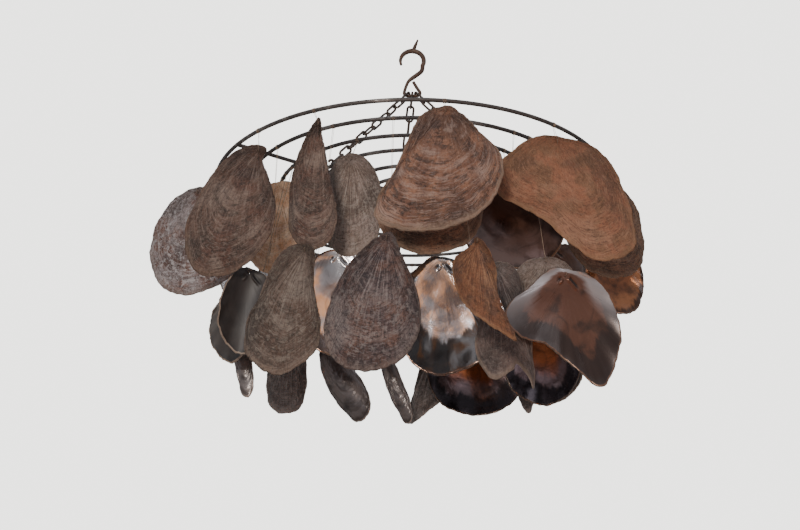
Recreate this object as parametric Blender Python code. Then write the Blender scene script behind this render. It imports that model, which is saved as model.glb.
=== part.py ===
"""Hanging shell chandelier: saddle-oyster shells wired in two tiers to a ring frame on three chains.

Standalone Blender 4.5 script, in metres with +Z up. The origin is where the forged hook hangs, at the
inner top of its bowl. +X is to the right and -Y is the front of the chandelier.
"""

import math
from typing import NamedTuple

import bpy
from mathutils import Matrix, Vector

# ---- driving dimensions ----
FRAME_R = 0.320  # outer ring, centre line
RING_RATIOS = (1.0, 0.842, 0.68, 0.535, 0.37, 0.24)  # ring radii over FRAME_R
RING_STEPS = (40, 36, 30, 24, 18, 14)  # straight runs that each ring is drawn with
ROD_R = 0.0030  # round bar of the rings and spokes
ROD_SIDES = 5
FRAME_Z = -0.2771  # plane of the rings, below the hook's hanging point
SPOKE_ANGLES = (216.0, 336.0, 96.0)  # degrees from +X, one beside each chain's foot
SPOKE_INNER_R = 0.030

BOWL_R = 0.0204  # centre line of the hook's bowl
BOWL_ARC = (203.0, -25.0)  # degrees from its tip, over the top, to where the neck begins
BOWL_STEPS = 14
HOOK_ROD_R = 0.0039
TIP_TAPER = (0.62, 0.80, 0.92)  # rod radii at the bowl's tip, over HOOK_ROD_R
NECK = ((0.0165, -0.0365), (0.0070, -0.0455), (-0.0035, -0.0540))  # (x, z) of its centre line
NECK_TAPER = (1.0, 0.95, 0.85)
EYE = (  # (x, z) round the three-sided eye, from the neck and back to it but for a slot
    (-0.0082, -0.0610),
    (-0.0118, -0.0720),
    (-0.0134, -0.0800),
    (-0.0102, -0.0852),
    (0.0102, -0.0852),
    (0.0136, -0.0795),
    (0.0082, -0.0700),
    (0.0022, -0.0585),
)
EYE_ROD_R = 0.0028
EYE_BAR_Z = -0.0852  # centre line of the eye's foot, which holds the chains
EYE_BAR_X = (-0.0075, 0.0086, -0.0002)  # where each chain hangs on it
SPUR = (  # (x, z) of its centre line, from inside the bowl's top
    (0.0009, 0.0012),
    (0.0035, 0.0085),
    (0.0066, 0.0175),
    (0.0100, 0.0268),
)
SPUR_RADII = (0.0036, 0.0032, 0.0026, 0.0014)
SPUR_SIDES = 6
HOOK_SIDES = 8

LINKS = 10
LINK_HALF_WIDTH = 0.0055  # from a link's middle to the centre line of a leg
LINK_WIRE_R = 0.0020
LINK_BITE = 0.0012  # how far neighbouring links press into each other
LINK_CORNERS = 4  # in each of a link's two bends
LINK_SIDES = 4  # of the wire's section

OPEN_LINK_R = 0.0064  # centre line of both bends of the open link at a chain's foot
OPEN_LINK_H = 0.013  # between the centres of its bends
OPEN_LINK_WIRE_R = 0.0021
OPEN_LINK_STEPS = 6  # straight runs in each of its bends
OPEN_LINK_SIDES = 6
SLOT_ANGLE = 20.0  # degrees that each bend runs past its half circle, towards the slot
FOOT_RING = 3  # index in RING_RATIOS of the ring that the chains hold
FOOT_SHIFT = 3.5  # degrees from the spoke to the open link beside it
GAP = 0.0005  # air between pieces that would touch

SHELL_T = 0.0024  # thickness of a shell
UMBO_DEPTH = 0.06  # the hanging hole below the apex, over the shell's height
SHELL_SIDES = 12
SHELL_LINES = (0.55, 1.0)  # growth lines that carry vertices, over the outline
SHARP_ANGLE = 50.0  # degrees between faces past which an edge isn't shaded smooth

LAMP_RING = 4  # index in RING_RATIOS of the ring that carries the lamps
LAMP_ANGLES = {"left": 222.0, "middle": 284.0, "right": 330.0}
LAMP_SIDES = 10
LAMP_TOP = 0.004  # the lamp stem's end above the ring plane
LAMP_STEM_R = 0.0018
LAMP_STEM_SIDES = 6
LAMP_STEM_END = -0.012
HOLDER_PROFILE = ((0.0040, -0.010), (0.0135, -0.015), (0.0150, -0.022), (0.0150, -0.046))
BULB_PROFILE = ((0.0110, -0.0465), (0.0172, -0.067), (0.0160, -0.087), (0.0085, -0.106))
BULB_TIP = -0.114


# Margins as (across, up) from the middle of the shell's top, over its width and height, seen from its
# outer face. Each starts at the apex and runs round by the left, and a closed curve joins its points.
OUTLINES = {
    "round": (
        (0, 0), (-0.34, -0.13), (-0.50, -0.48), (-0.36, -0.86),
        (0, -1), (0.38, -0.85), (0.50, -0.47), (0.33, -0.12),
    ),
    "beak": (
        (0.26, 0), (0.02, -0.04), (-0.20, -0.22), (-0.40, -0.46), (-0.50, -0.70), (-0.38, -0.94),
        (-0.08, -1.0), (0.26, -0.90), (0.48, -0.66), (0.46, -0.42), (0.30, -0.18), (0.34, -0.05),
    ),
    "drop": (
        (0.14, 0), (-0.04, -0.10), (-0.28, -0.28), (-0.44, -0.50), (-0.50, -0.72), (-0.36, -0.93),
        (0.0, -1.0), (0.34, -0.89), (0.50, -0.66), (0.44, -0.40), (0.30, -0.19), (0.22, -0.03),
    ),
    "flask": (
        (0.28, 0), (0.04, -0.04), (-0.14, -0.20), (-0.28, -0.42), (-0.48, -0.62), (-0.44, -0.84),
        (0.0, -1.0), (0.40, -0.86), (0.50, -0.66), (0.41, -0.44), (0.40, -0.22), (0.38, -0.04),
    ),
    "spear": (
        (0.10, 0), (-0.12, -0.14), (-0.34, -0.36), (-0.50, -0.64), (-0.40, -0.88), (0.0, -1.0),
        (0.38, -0.94), (0.50, -0.78), (0.42, -0.60), (0.22, -0.42), (0.13, -0.25), (0.16, -0.08),
    ),
    "cone": (
        (0.05, 0), (-0.13, -0.08), (-0.23, -0.27), (-0.34, -0.54), (-0.50, -0.84), (-0.34, -0.97),
        (-0.04, -1.0), (0.28, -0.89), (0.46, -0.68), (0.49, -0.44), (0.31, -0.22), (0.15, -0.05),
    ),
    "fan": (
        (0.0, 0), (-0.16, -0.05), (-0.25, -0.28), (-0.37, -0.55), (-0.50, -0.79), (-0.26, -0.94),
        (0.08, -1.0), (0.38, -0.84), (0.50, -0.52), (0.38, -0.20), (0.15, -0.02),
    ),
    "cape": (
        (-0.06, 0), (-0.24, -0.03), (-0.38, -0.14), (-0.49, -0.27), (-0.50, -0.49), (-0.22, -0.68),
        (0.02, -0.90), (0.22, -1.0), (0.46, -0.88), (0.49, -0.64), (0.42, -0.34), (0.26, -0.07),
    ),
    "sail": (
        (-0.04, 0), (-0.30, -0.08), (-0.44, -0.30), (-0.47, -0.62), (-0.30, -1.0), (-0.08, -0.84),
        (0.13, -0.66), (0.36, -0.61), (0.50, -0.46), (0.44, -0.32), (0.28, -0.19), (0.12, -0.03),
    ),
    "leaf": (
        (0.0, 0), (-0.14, -0.12), (-0.46, -0.20), (-0.50, -0.38), (-0.38, -0.62), (-0.02, -0.82),
        (0.34, -0.95), (0.50, -1.0), (0.38, -0.80), (0.27, -0.55), (0.28, -0.28), (0.14, -0.07),
    ),
    "oval": (
        (0, 0), (-0.30, -0.10), (-0.48, -0.42), (-0.40, -0.80),
        (0, -1), (0.42, -0.78), (0.50, -0.40), (0.28, -0.08),
    ),
    "strip": (
        (0.0, 0), (-0.24, -0.08), (-0.42, -0.28), (-0.50, -0.52), (-0.42, -0.76), (-0.24, -0.94),
        (0.06, -1.0), (0.40, -0.92), (0.50, -0.68), (0.44, -0.44), (0.36, -0.20), (0.20, -0.04),
    ),
    "fin": (
        (0.10, 0), (-0.14, -0.12), (-0.24, -0.38), (-0.36, -0.70), (-0.50, -1.0), (-0.20, -0.98),
        (0.14, -0.84), (0.44, -0.66), (0.50, -0.50), (0.46, -0.30), (0.40, -0.13), (0.26, -0.03),
    ),
    "lobed": (
        (0.05, 0), (-0.22, -0.16), (-0.38, -0.45), (-0.50, -0.70), (-0.30, -0.92), (-0.02, -0.88),
        (0.12, -0.82), (0.34, -0.92), (0.50, -1.0), (0.47, -0.72), (0.46, -0.38), (0.38, -0.08),
    ),
}


class Shell(NamedTuple):
    """One shell: where it hangs, its outline, the way it faces and how it is bent."""

    name: str
    at: tuple  # degrees round the frame from +X, radius, drop below the ring plane
    size: tuple  # width, height
    outline: str
    turn: tuple  # where its outer face looks in degrees from +X, lean outward of the foot, roll
    bend: tuple = (0.014, 0.0)  # cup, saddle
    curl: tuple = (0.0, 0.0)  # twist from foot to apex, fold round the upright axis, in degrees


SHELLS = (
    # upper tier, front, from left to right
    Shell("upper_shell_01", (193.5, 0.345, 0.031), (0.158, 0.178), "round", (255, 0, 0), (0.012, 0.010)),
    Shell(
        "upper_shell_02", (226.4, 0.318, 0.034), (0.130, 0.198), "beak", (262, 0, 0), (0.016, -0.006), (8, 0),
    ),
    Shell("upper_shell_03", (199.5, 0.222, 0.016), (0.114, 0.156), "oval", (255, 0, 0)),
    Shell(
        "upper_shell_04", (245, 0.308, 0.018), (0.068, 0.198), "spear", (262, 0, 0), (0.010, 0.0), (24, 14),
    ),
    Shell(
        "upper_shell_05", (248.4, 0.235, 0.040), (0.088, 0.158), "round",
        (262, 0, 0), (0.012, 0.006), (10, 16),
    ),
    Shell(
        "upper_shell_06", (277.9, 0.325, 0.021), (0.170, 0.181), "cone",
        (268, 0, 0), (0.024, -0.008), (-6, 14),
    ),
    Shell("upper_shell_07", (275, 0.268, 0.080), (0.145, 0.132), "round", (268, 0, 0)),
    Shell(
        "upper_shell_08", (308.9, 0.325, 0.032), (0.196, 0.184), "cape", (280, 0, 0), (0.020, 0.010), (6, 0),
    ),
    Shell("upper_shell_09", (338, 0.318, 0.036), (0.138, 0.158), "round", (290, 0, 0), (0.014, 0.012)),
    Shell("upper_shell_10", (352, 0.322, 0.095), (0.105, 0.130), "round", (110, 0, 0), (0.014, -0.008)),
    Shell("upper_shell_11", (303, 0.260, 0.076), (0.150, 0.140), "round", (95, 0, 0), (0.018, 0.0)),
    # upper tier, sides and back
    Shell("upper_shell_12", (9, 0.318, 0.020), (0.130, 0.140), "round", (9, 0, 0), (0.014, 0.008)),
    Shell("upper_shell_13", (36, 0.318, 0.024), (0.140, 0.165), "beak", (36, 0, 0), (0.016, -0.006), (8, 10)),
    Shell("upper_shell_14", (63, 0.318, 0.020), (0.135, 0.160), "fan", (63, 0, 0), (0.018, 0.006)),
    Shell("upper_shell_15", (90, 0.318, 0.026), (0.140, 0.150), "drop", (90, 0, 0), (0.016, 0.0), (-10, 0)),
    Shell("upper_shell_16", (117, 0.318, 0.022), (0.135, 0.165), "cape", (117, 0, 0), (0.018, 0.008)),
    Shell(
        "upper_shell_17", (144, 0.318, 0.028), (0.140, 0.155), "beak", (144, 0, 0), (0.014, -0.008), (12, 0),
    ),
    Shell("upper_shell_18", (169, 0.318, 0.022), (0.120, 0.130), "round", (169, 0, 0), (0.014, 0.006)),
    # lower tier, front, from left to right
    Shell(
        "lower_shell_01", (211.8, 0.294, 0.222), (0.082, 0.108), "oval", (60, 0, 0), (0.010, 0.0), (16, 20),
    ),
    Shell(
        "lower_shell_02", (222.1, 0.3058, 0.209), (0.078, 0.124), "oval", (96, 0, 0), (0.010, 0.0), (30, 50),
    ),
    Shell(
        "lower_shell_03", (204.9, 0.2855, 0.2233), (0.026, 0.155), "strip",
        (262, 0, -10), (0.006, 0.0), (40, 0),
    ),
    Shell(
        "lower_shell_04", (245.4, 0.333, 0.215), (0.100, 0.174), "flask", (262, 0, 0), (0.018, 0.0), (6, 14),
    ),
    Shell(
        "lower_shell_05", (264.4, 0.331, 0.209), (0.120, 0.182), "drop",
        (267, 0, 0), (0.022, -0.006), (-4, 16),
    ),
    Shell("lower_shell_06", (142, 0.165, 0.065), (0.130, 0.190), "round", (95, 0, 0), (0.016, 0.006)),
    Shell("lower_shell_07", (62, 0.110, 0.082), (0.160, 0.208), "fan", (88, 0, 0), (0.024, 0.0)),
    Shell(
        "lower_shell_08", (283.8, 0.345, 0.216), (0.066, 0.138), "leaf", (268, 0, -4), (0.012, 0.0), (24, 20),
    ),
    Shell(
        "lower_shell_09", (294.1, 0.279, 0.2216), (0.080, 0.172), "lobed",
        (275, 0, -8), (0.012, 0.0), (-30, 30),
    ),
    Shell("lower_shell_10", (309, 0.2908, 0.200), (0.105, 0.115), "oval", (275, 0, 0)),
    Shell(
        "lower_shell_11", (309.1, 0.325, 0.2304), (0.160, 0.160), "sail", (100, 0, 0), (0.022, 0.006), (6, 0),
    ),
    # lower tier, back, seen through the gaps
    Shell("lower_shell_12", (352, 0.200, 0.215), (0.120, 0.150), "round", (90, 0, 0), (0.020, 0.0)),
    Shell("lower_shell_13", (64.8, 0.270, 0.162), (0.174, 0.162), "round", (90, 0, 0), (0.026, 0.0)),
    Shell("lower_shell_14", (42, 0.250, 0.215), (0.030, 0.120), "oval", (262, 0, -6), (0.006, 0.0), (30, 0)),
    Shell("lower_shell_15", (33, 0.290, 0.168), (0.120, 0.150), "round", (60, 0, 0), (0.016, 0.008)),
    Shell(
        "lower_shell_16", (138, 0.285, 0.184), (0.074, 0.146), "strip", (262, 0, 6), (0.012, 0.0), (-14, 20),
    ),
    Shell(
        "lower_shell_17", (122.5, 0.290, 0.186), (0.062, 0.165), "strip",
        (262, 0, -24), (0.012, 0.0), (70, 20),
    ),
    Shell(
        "lower_shell_18", (101, 0.280, 0.186), (0.032, 0.155), "strip", (262, 0, -18), (0.008, 0.0), (60, 0),
    ),
    Shell("lower_shell_19", (81.2, 0.287, 0.178), (0.080, 0.148), "fin", (262, 0, 6), (0.012, 0.0), (30, 20)),
)


def outline_point(shell, turn):
    """(x, z) of the flat margin at turn, from 0 at the apex to 1 all the way round."""
    width, height = shell.size
    corners = [Vector(corner) for corner in OUTLINES[shell.outline]]
    count = len(corners)
    place = turn * count
    first = int(place)
    u = place - first
    before, start, end, after = (corners[(first + step) % count] for step in (-1, 0, 1, 2))
    point = start + (end - before) * u / 2
    point += (2 * before - 5 * start + 4 * end - after) * u**2 / 2
    point += (3 * start - before - 3 * end + after) * u**3 / 2
    return point.x * width, point.y * height


def bent(shell, x, z):
    """The flat point (x, z) after the shell's bending, with -Y its outer face."""
    width, height = shell.size
    across = 2 * x / width
    up = 1 + 2 * z / height
    cup, saddle = shell.bend
    y = cup * (across**2 + up**2) / 2 + saddle * (across**2 - up**2) / 2
    twist, fold = (math.radians(angle) for angle in shell.curl)
    if fold:
        x = width / 2 * math.sin(fold * across) / fold
        y += width / 2 * (1 - math.cos(fold * across)) / fold
    swing = twist * up / 2
    x, y = x * math.cos(swing) - y * math.sin(swing), x * math.sin(swing) + y * math.cos(swing)
    return Vector((x, y, z))


def placing(shell, umbo):
    """The matrix that hangs a shell, bent about the origin, by its umbo."""
    angle, radius, drop = shell.at
    facing, lean, roll = (math.radians(value) for value in shell.turn)
    hang = around(radius, angle, FRAME_Z - drop)
    turned = Matrix.Rotation(facing + math.pi / 2, 4, "Z")
    turned @= Matrix.Rotation(-lean, 4, "X") @ Matrix.Rotation(roll, 4, "Y")
    return Matrix.Translation(hang) @ turned @ Matrix.Translation(-umbo)


def shell_grid(shell, sides, lines):
    """Points of the shell's middle surface: the umbo, then one growth line after another."""
    width, height = shell.size
    umbo_x, umbo_z = OUTLINES[shell.outline][0][0] * width, -UMBO_DEPTH * height
    umbo = bent(shell, umbo_x, umbo_z)
    points = [umbo]
    for line in lines:
        for step in range(sides):
            x, z = outline_point(shell, step / sides)
            points.append(bent(shell, umbo_x + line * (x - umbo_x), umbo_z + line * (z - umbo_z)))
    place = placing(shell, umbo)
    return [place @ point for point in points]


def fan_faces(sides, lines):
    """Faces of a fan about point 0 and of the bands between its rings of points, facing -Y."""
    faces = []
    for step in range(sides):
        beside = (step + 1) % sides
        faces.append((0, 1 + step, 1 + beside))
        for line in range(lines - 1):
            inner, outer = 1 + line * sides, 1 + (line + 1) * sides
            faces.append((inner + step, outer + step, outer + beside, inner + beside))
    return faces


def tube(points, radii, sides, closed=False):
    """A mesh round a path: (vertices, faces). An open path is capped at both ends."""
    points = [Vector(point) for point in points]
    if not isinstance(radii, (list, tuple)):
        radii = [radii] * len(points)
    count = len(points)
    tangents = []
    for i in range(count):
        before = points[i - 1] if closed or i else points[0]
        after = points[(i + 1) % count] if closed or i < count - 1 else points[-1]
        tangents.append((after - before).normalized())
    normal = tangents[0].orthogonal().normalized()
    vertices = []
    for point, tangent, radius in zip(points, tangents, radii):
        normal = (normal - normal.dot(tangent) * tangent).normalized()
        binormal = tangent.cross(normal)
        for side in range(sides):
            turn = 2 * math.pi * side / sides
            vertices.append(point + radius * (math.cos(turn) * normal + math.sin(turn) * binormal))
    faces = []
    for i in range(count if closed else count - 1):
        here, there = i * sides, (i + 1) % count * sides
        for side in range(sides):
            beside = (side + 1) % sides
            faces.append((here + side, here + beside, there + beside, there + side))
    if not closed:
        faces.append(tuple(reversed(range(sides))))
        faces.append(tuple(range((count - 1) * sides, count * sides)))
    return vertices, faces


def lathe(profile, tip, sides, centre):
    """A turned body from (radius, height) points, top to bottom. A tip closes the foot in a point."""
    vertices, faces = [], []
    for radius, height in profile:
        for side in range(sides):
            turn = 2 * math.pi * side / sides
            vertices.append(
                Vector((radius * math.cos(turn), radius * math.sin(turn), height)) + centre
            )
    rows = len(profile)
    for row in range(rows - 1):
        for side in range(sides):
            beside = (side + 1) % sides
            above, below = row * sides, (row + 1) * sides
            faces.append((above + side, below + side, below + beside, above + beside))
    faces.append(tuple(range(sides)))
    last = (rows - 1) * sides
    if tip is None:
        faces.append(tuple(reversed(range(last, last + sides))))
    else:
        vertices.append(Vector((0, 0, tip)) + centre)
        for side in range(sides):
            faces.append((last + side, len(vertices) - 1, last + (side + 1) % sides))
    return vertices, faces


def arc(centre, radius, start, end, steps):
    """Points of an arc in the XZ plane, with angles in degrees from +X towards +Z."""
    points = []
    for step in range(steps + 1):
        angle = math.radians(start + (end - start) * step / steps)
        points.append(
            Vector((centre[0] + radius * math.cos(angle), 0, centre[1] + radius * math.sin(angle)))
        )
    return points


def material(name, colour, roughness, metallic=0.0, emission=0.0):
    """A Principled material with a linear colour."""
    made = bpy.data.materials.new(name)
    made.use_nodes = True
    shader = made.node_tree.nodes["Principled BSDF"]
    shader.inputs["Base Color"].default_value = (*colour, 1)
    shader.inputs["Roughness"].default_value = roughness
    shader.inputs["Metallic"].default_value = metallic
    shader.inputs["Emission Color"].default_value = (*colour, 1)
    shader.inputs["Emission Strength"].default_value = emission
    made.diffuse_color = (*colour, 1)
    return made


def add_mesh(name, shape, finish):
    """An object from (vertices, faces), shaded smooth."""
    mesh = bpy.data.meshes.new(name)
    mesh.from_pydata([tuple(vertex) for vertex in shape[0]], [], shape[1])
    mesh.shade_smooth()
    mesh.set_sharp_from_angle(angle=math.radians(SHARP_ANGLE))
    mesh.materials.append(finish)
    made = bpy.data.objects.new(name, mesh)
    bpy.context.scene.collection.objects.link(made)
    return made


def add_union(name, shapes, finish):
    """One welded body from shapes that run into each other."""
    body = add_mesh(name, shapes[0], finish)
    for number, shape in enumerate(shapes[1:], 1):
        helper = add_mesh(f"{name}_weld_{number}", shape, finish)
        helper.hide_render = True
        helper.display_type = "WIRE"
        weld = body.modifiers.new(f"Weld {number}", "BOOLEAN")
        weld.operation = "UNION"
        weld.object = helper
    return body


def add_shell(shell, finish):
    """A shell as its bent middle surface with a Solidify modifier."""
    points = shell_grid(shell, SHELL_SIDES, SHELL_LINES)
    made = add_mesh(shell.name, (points, fan_faces(SHELL_SIDES, len(SHELL_LINES))), finish)
    wall = made.modifiers.new("Wall", "SOLIDIFY")
    wall.thickness = SHELL_T
    wall.offset = 0
    return made


def ring_radius(index):
    """Centre-line radius of one of the frame's rings."""
    return FRAME_R * RING_RATIOS[index]


def around(radius, angle, height):
    """The point at an angle in degrees round the upright axis."""
    turn = math.radians(angle)
    return Vector((radius * math.cos(turn), radius * math.sin(turn), height))


def add_frame(finish):
    """Six concentric rings on three spokes, welded into one flat grille."""
    shapes = []
    for angle in SPOKE_ANGLES:
        inner = around(SPOKE_INNER_R, angle, FRAME_Z)
        shapes.append(tube([inner, around(FRAME_R, angle, FRAME_Z)], ROD_R, ROD_SIDES))
    for index, steps in enumerate(RING_STEPS):
        circle = [
            around(ring_radius(index), 360 * (step + 0.5) / steps, FRAME_Z)
            for step in range(steps)
        ]
        shapes.append(tube(circle, ROD_R, ROD_SIDES, closed=True))
    rings = shapes[len(SPOKE_ANGLES) :]
    spokes = shapes[: len(SPOKE_ANGLES)]
    return add_union("ring_frame", rings[:1] + spokes + rings[1:], finish)


def upright(points):
    """Points of the XZ plane from (x, z) pairs."""
    return [Vector((x, 0, z)) for x, z in points]


def add_hook(finish):
    """The forged hook: a bowl, a neck that swings back under it, a three-sided eye and a spur on top."""
    bowl = arc((0, HOOK_ROD_R - BOWL_R), BOWL_R, *BOWL_ARC, BOWL_STEPS)
    path = bowl + upright(NECK) + upright(EYE)
    full = [1.0] * (len(bowl) - len(TIP_TAPER))
    radii = [HOOK_ROD_R * share for share in (*TIP_TAPER, *full, *NECK_TAPER)]
    radii += [EYE_ROD_R] * len(EYE)
    spur = tube(upright(SPUR), SPUR_RADII, SPUR_SIDES)
    return add_union("hook", [tube(path, radii, HOOK_SIDES), spur], finish)


def link_shape(top, down, across, length):
    """One chain link: an oval of wire from its top bend's centre line, along down."""
    middle = top + down * length / 2
    straight = length / 2 - LINK_HALF_WIDTH
    run = math.pi / (LINK_CORNERS - 1)
    flat_top = math.cos(run / 2)
    points = []
    for end in (1, -1):
        for corner in range(LINK_CORNERS):
            angle = run * corner - end * math.pi / 2
            along = straight * end + LINK_HALF_WIDTH * math.cos(angle) / flat_top
            points.append(middle - down * along + across * LINK_HALF_WIDTH * math.sin(angle))
    return tube(points, LINK_WIRE_R, LINK_SIDES, closed=True)


def chain_ends(number):
    """A chain's course: the eye's wire that it hangs on, the ring's wire that it holds, and down."""
    eye = Vector((EYE_BAR_X[number], 0, EYE_BAR_Z))
    foot = around(ring_radius(FOOT_RING), SPOKE_ANGLES[number] + FOOT_SHIFT, FRAME_Z)
    return eye, foot, (foot - eye).normalized()


def add_chain(number, finish):
    """A chain of oval links that bear on each other, each turned a quarter from the last."""
    eye, foot, down = chain_ends(number)
    slanted_bar = EYE_ROD_R / math.sqrt(1 - down.x**2)
    top = eye - down * (slanted_bar + LINK_WIRE_R + GAP)
    grip = foot + down * (ROD_R + OPEN_LINK_WIRE_R + GAP)
    bend = grip - down * (OPEN_LINK_H + 2 * OPEN_LINK_R)
    bottom = bend + down * (OPEN_LINK_WIRE_R + LINK_WIRE_R + GAP)
    reach = (bottom - top).length
    pitch = (reach - 2 * LINK_WIRE_R + LINK_BITE) / LINKS
    length = pitch + 2 * LINK_WIRE_R - LINK_BITE
    tangent = around(1, SPOKE_ANGLES[number] + FOOT_SHIFT + 90, 0)
    first = Vector((1, 0, 0)).cross(down).normalized()
    last = (tangent - tangent.dot(down) * down).normalized()
    swing = math.degrees(math.atan2(down.dot(first.cross(last)), first.dot(last)))
    quarters = 90 * (LINKS - 1)
    spare = (swing - quarters + 90) % 180 - 90
    links = []
    for link in range(LINKS):
        turn = math.radians((quarters + spare) * link / (LINKS - 1))
        across = Matrix.Rotation(turn, 3, down) @ first
        links.append(link_shape(top + down * pitch * link, down, across, length))
    return add_union(f"chain_{number + 1}", links, finish)


def add_open_link(number, finish):
    """The open oval link that joins a chain's foot to the frame, closed but for a slot."""
    _, foot, down = chain_ends(number)
    tangent = around(1, SPOKE_ANGLES[number] + FOOT_SHIFT + 90, 0)
    side = down.cross(tangent).normalized()
    low = foot + down * (ROD_R + OPEN_LINK_WIRE_R + GAP - OPEN_LINK_R)
    high = low - down * OPEN_LINK_H
    path = []
    for centre, start, end in ((low, SLOT_ANGLE, -180), (high, 180, -SLOT_ANGLE)):
        for step in range(OPEN_LINK_STEPS + 1):
            angle = math.radians(start + (end - start) * step / OPEN_LINK_STEPS)
            turned = math.cos(angle) * side - math.sin(angle) * down
            path.append(centre + OPEN_LINK_R * turned)
    shape = tube(path, OPEN_LINK_WIRE_R, OPEN_LINK_SIDES)
    add_mesh(f"open_link_{number + 1}", shape, finish)


def add_lamp(side, metal, glass):
    """A lampholder on its stem beside a ring of the frame, and the bulb below it."""
    out = ring_radius(LAMP_RING) + ROD_R + LAMP_STEM_R + GAP
    centre = around(out, LAMP_ANGLES[side], FRAME_Z)
    stem = tube(
        [centre + Vector((0, 0, LAMP_TOP)), centre + Vector((0, 0, LAMP_STEM_END))],
        LAMP_STEM_R,
        LAMP_STEM_SIDES,
    )
    holder = lathe(HOLDER_PROFILE, None, LAMP_SIDES, centre)
    add_union(f"lampholder_{side}", [holder, stem], metal)
    add_mesh(f"bulb_{side}", lathe(BULB_PROFILE, BULB_TIP, LAMP_SIDES, centre), glass)


def clear_scene():
    """Removes every object that the scene starts with."""
    for existing in list(bpy.data.objects):
        bpy.data.objects.remove(existing, do_unlink=True)


def main():
    """Builds the chandelier."""
    clear_scene()
    iron = material("blackened_iron", (0.035, 0.032, 0.030), 0.55, metallic=0.9)
    rust = material("forged_iron", (0.070, 0.040, 0.026), 0.65, metallic=0.7)
    grey_shell = material("weathered_shell", (0.150, 0.115, 0.090), 0.55)
    dark_metal = material("lampholder_black", (0.030, 0.028, 0.026), 0.45)
    warm_glass = material("lamp_glass", (1.0, 0.55, 0.22), 0.30, emission=6.0)
    add_frame(iron)
    add_hook(rust)
    for number in range(len(SPOKE_ANGLES)):
        add_chain(number, iron)
        add_open_link(number, iron)
    for side in LAMP_ANGLES:
        add_lamp(side, dark_metal, warm_glass)
    for shell in SHELLS:
        add_shell(shell, grey_shell)


main()
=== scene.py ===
"""Looks of a shell chandelier: weathered pearl shells wired in two tiers to a welded ring frame.

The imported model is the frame. Every fine piece here stands in for one CAD node, in metres, +Z up, with
the origin where the forged hook hangs, +X to the right and -Y at the front.
"""

import logging
import math
from dataclasses import dataclass, field
from enum import Enum
from typing import Any, Iterable, Sequence

import bpy
import numpy as np
from mathutils import Matrix, Vector


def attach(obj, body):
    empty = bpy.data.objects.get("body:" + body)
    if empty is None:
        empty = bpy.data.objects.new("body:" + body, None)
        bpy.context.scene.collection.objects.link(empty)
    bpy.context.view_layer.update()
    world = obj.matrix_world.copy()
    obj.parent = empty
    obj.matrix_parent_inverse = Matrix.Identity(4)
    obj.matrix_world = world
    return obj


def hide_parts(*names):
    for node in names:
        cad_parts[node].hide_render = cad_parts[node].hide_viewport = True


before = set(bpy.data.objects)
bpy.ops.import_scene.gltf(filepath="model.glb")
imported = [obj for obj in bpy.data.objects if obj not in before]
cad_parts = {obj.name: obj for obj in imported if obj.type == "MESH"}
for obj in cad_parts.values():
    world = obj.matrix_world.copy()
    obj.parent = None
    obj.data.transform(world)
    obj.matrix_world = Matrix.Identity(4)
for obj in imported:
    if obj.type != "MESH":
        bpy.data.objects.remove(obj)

LOG = logging.getLogger("shell_chandelier")
BODY = "root"
MM = 0.001

Place = tuple[float, float, float]
Profile = tuple[tuple[float, float], ...]


# ---------------------------------------------------------------- colour and nodes


def linear(hex_colour: str) -> tuple[float, float, float, float]:
    """Turns an sRGB hex colour into linear RGBA.

    Args:
        hex_colour: Six hex digits after a hash sign.

    Returns:
        Linear red, green and blue, with alpha 1.
    """
    channels = (int(hex_colour[start : start + 2], 16) / 255 for start in (1, 3, 5))
    return (*(c / 12.92 if c <= 0.04045 else ((c + 0.055) / 1.055) ** 2.4 for c in channels), 1.0)


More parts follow.
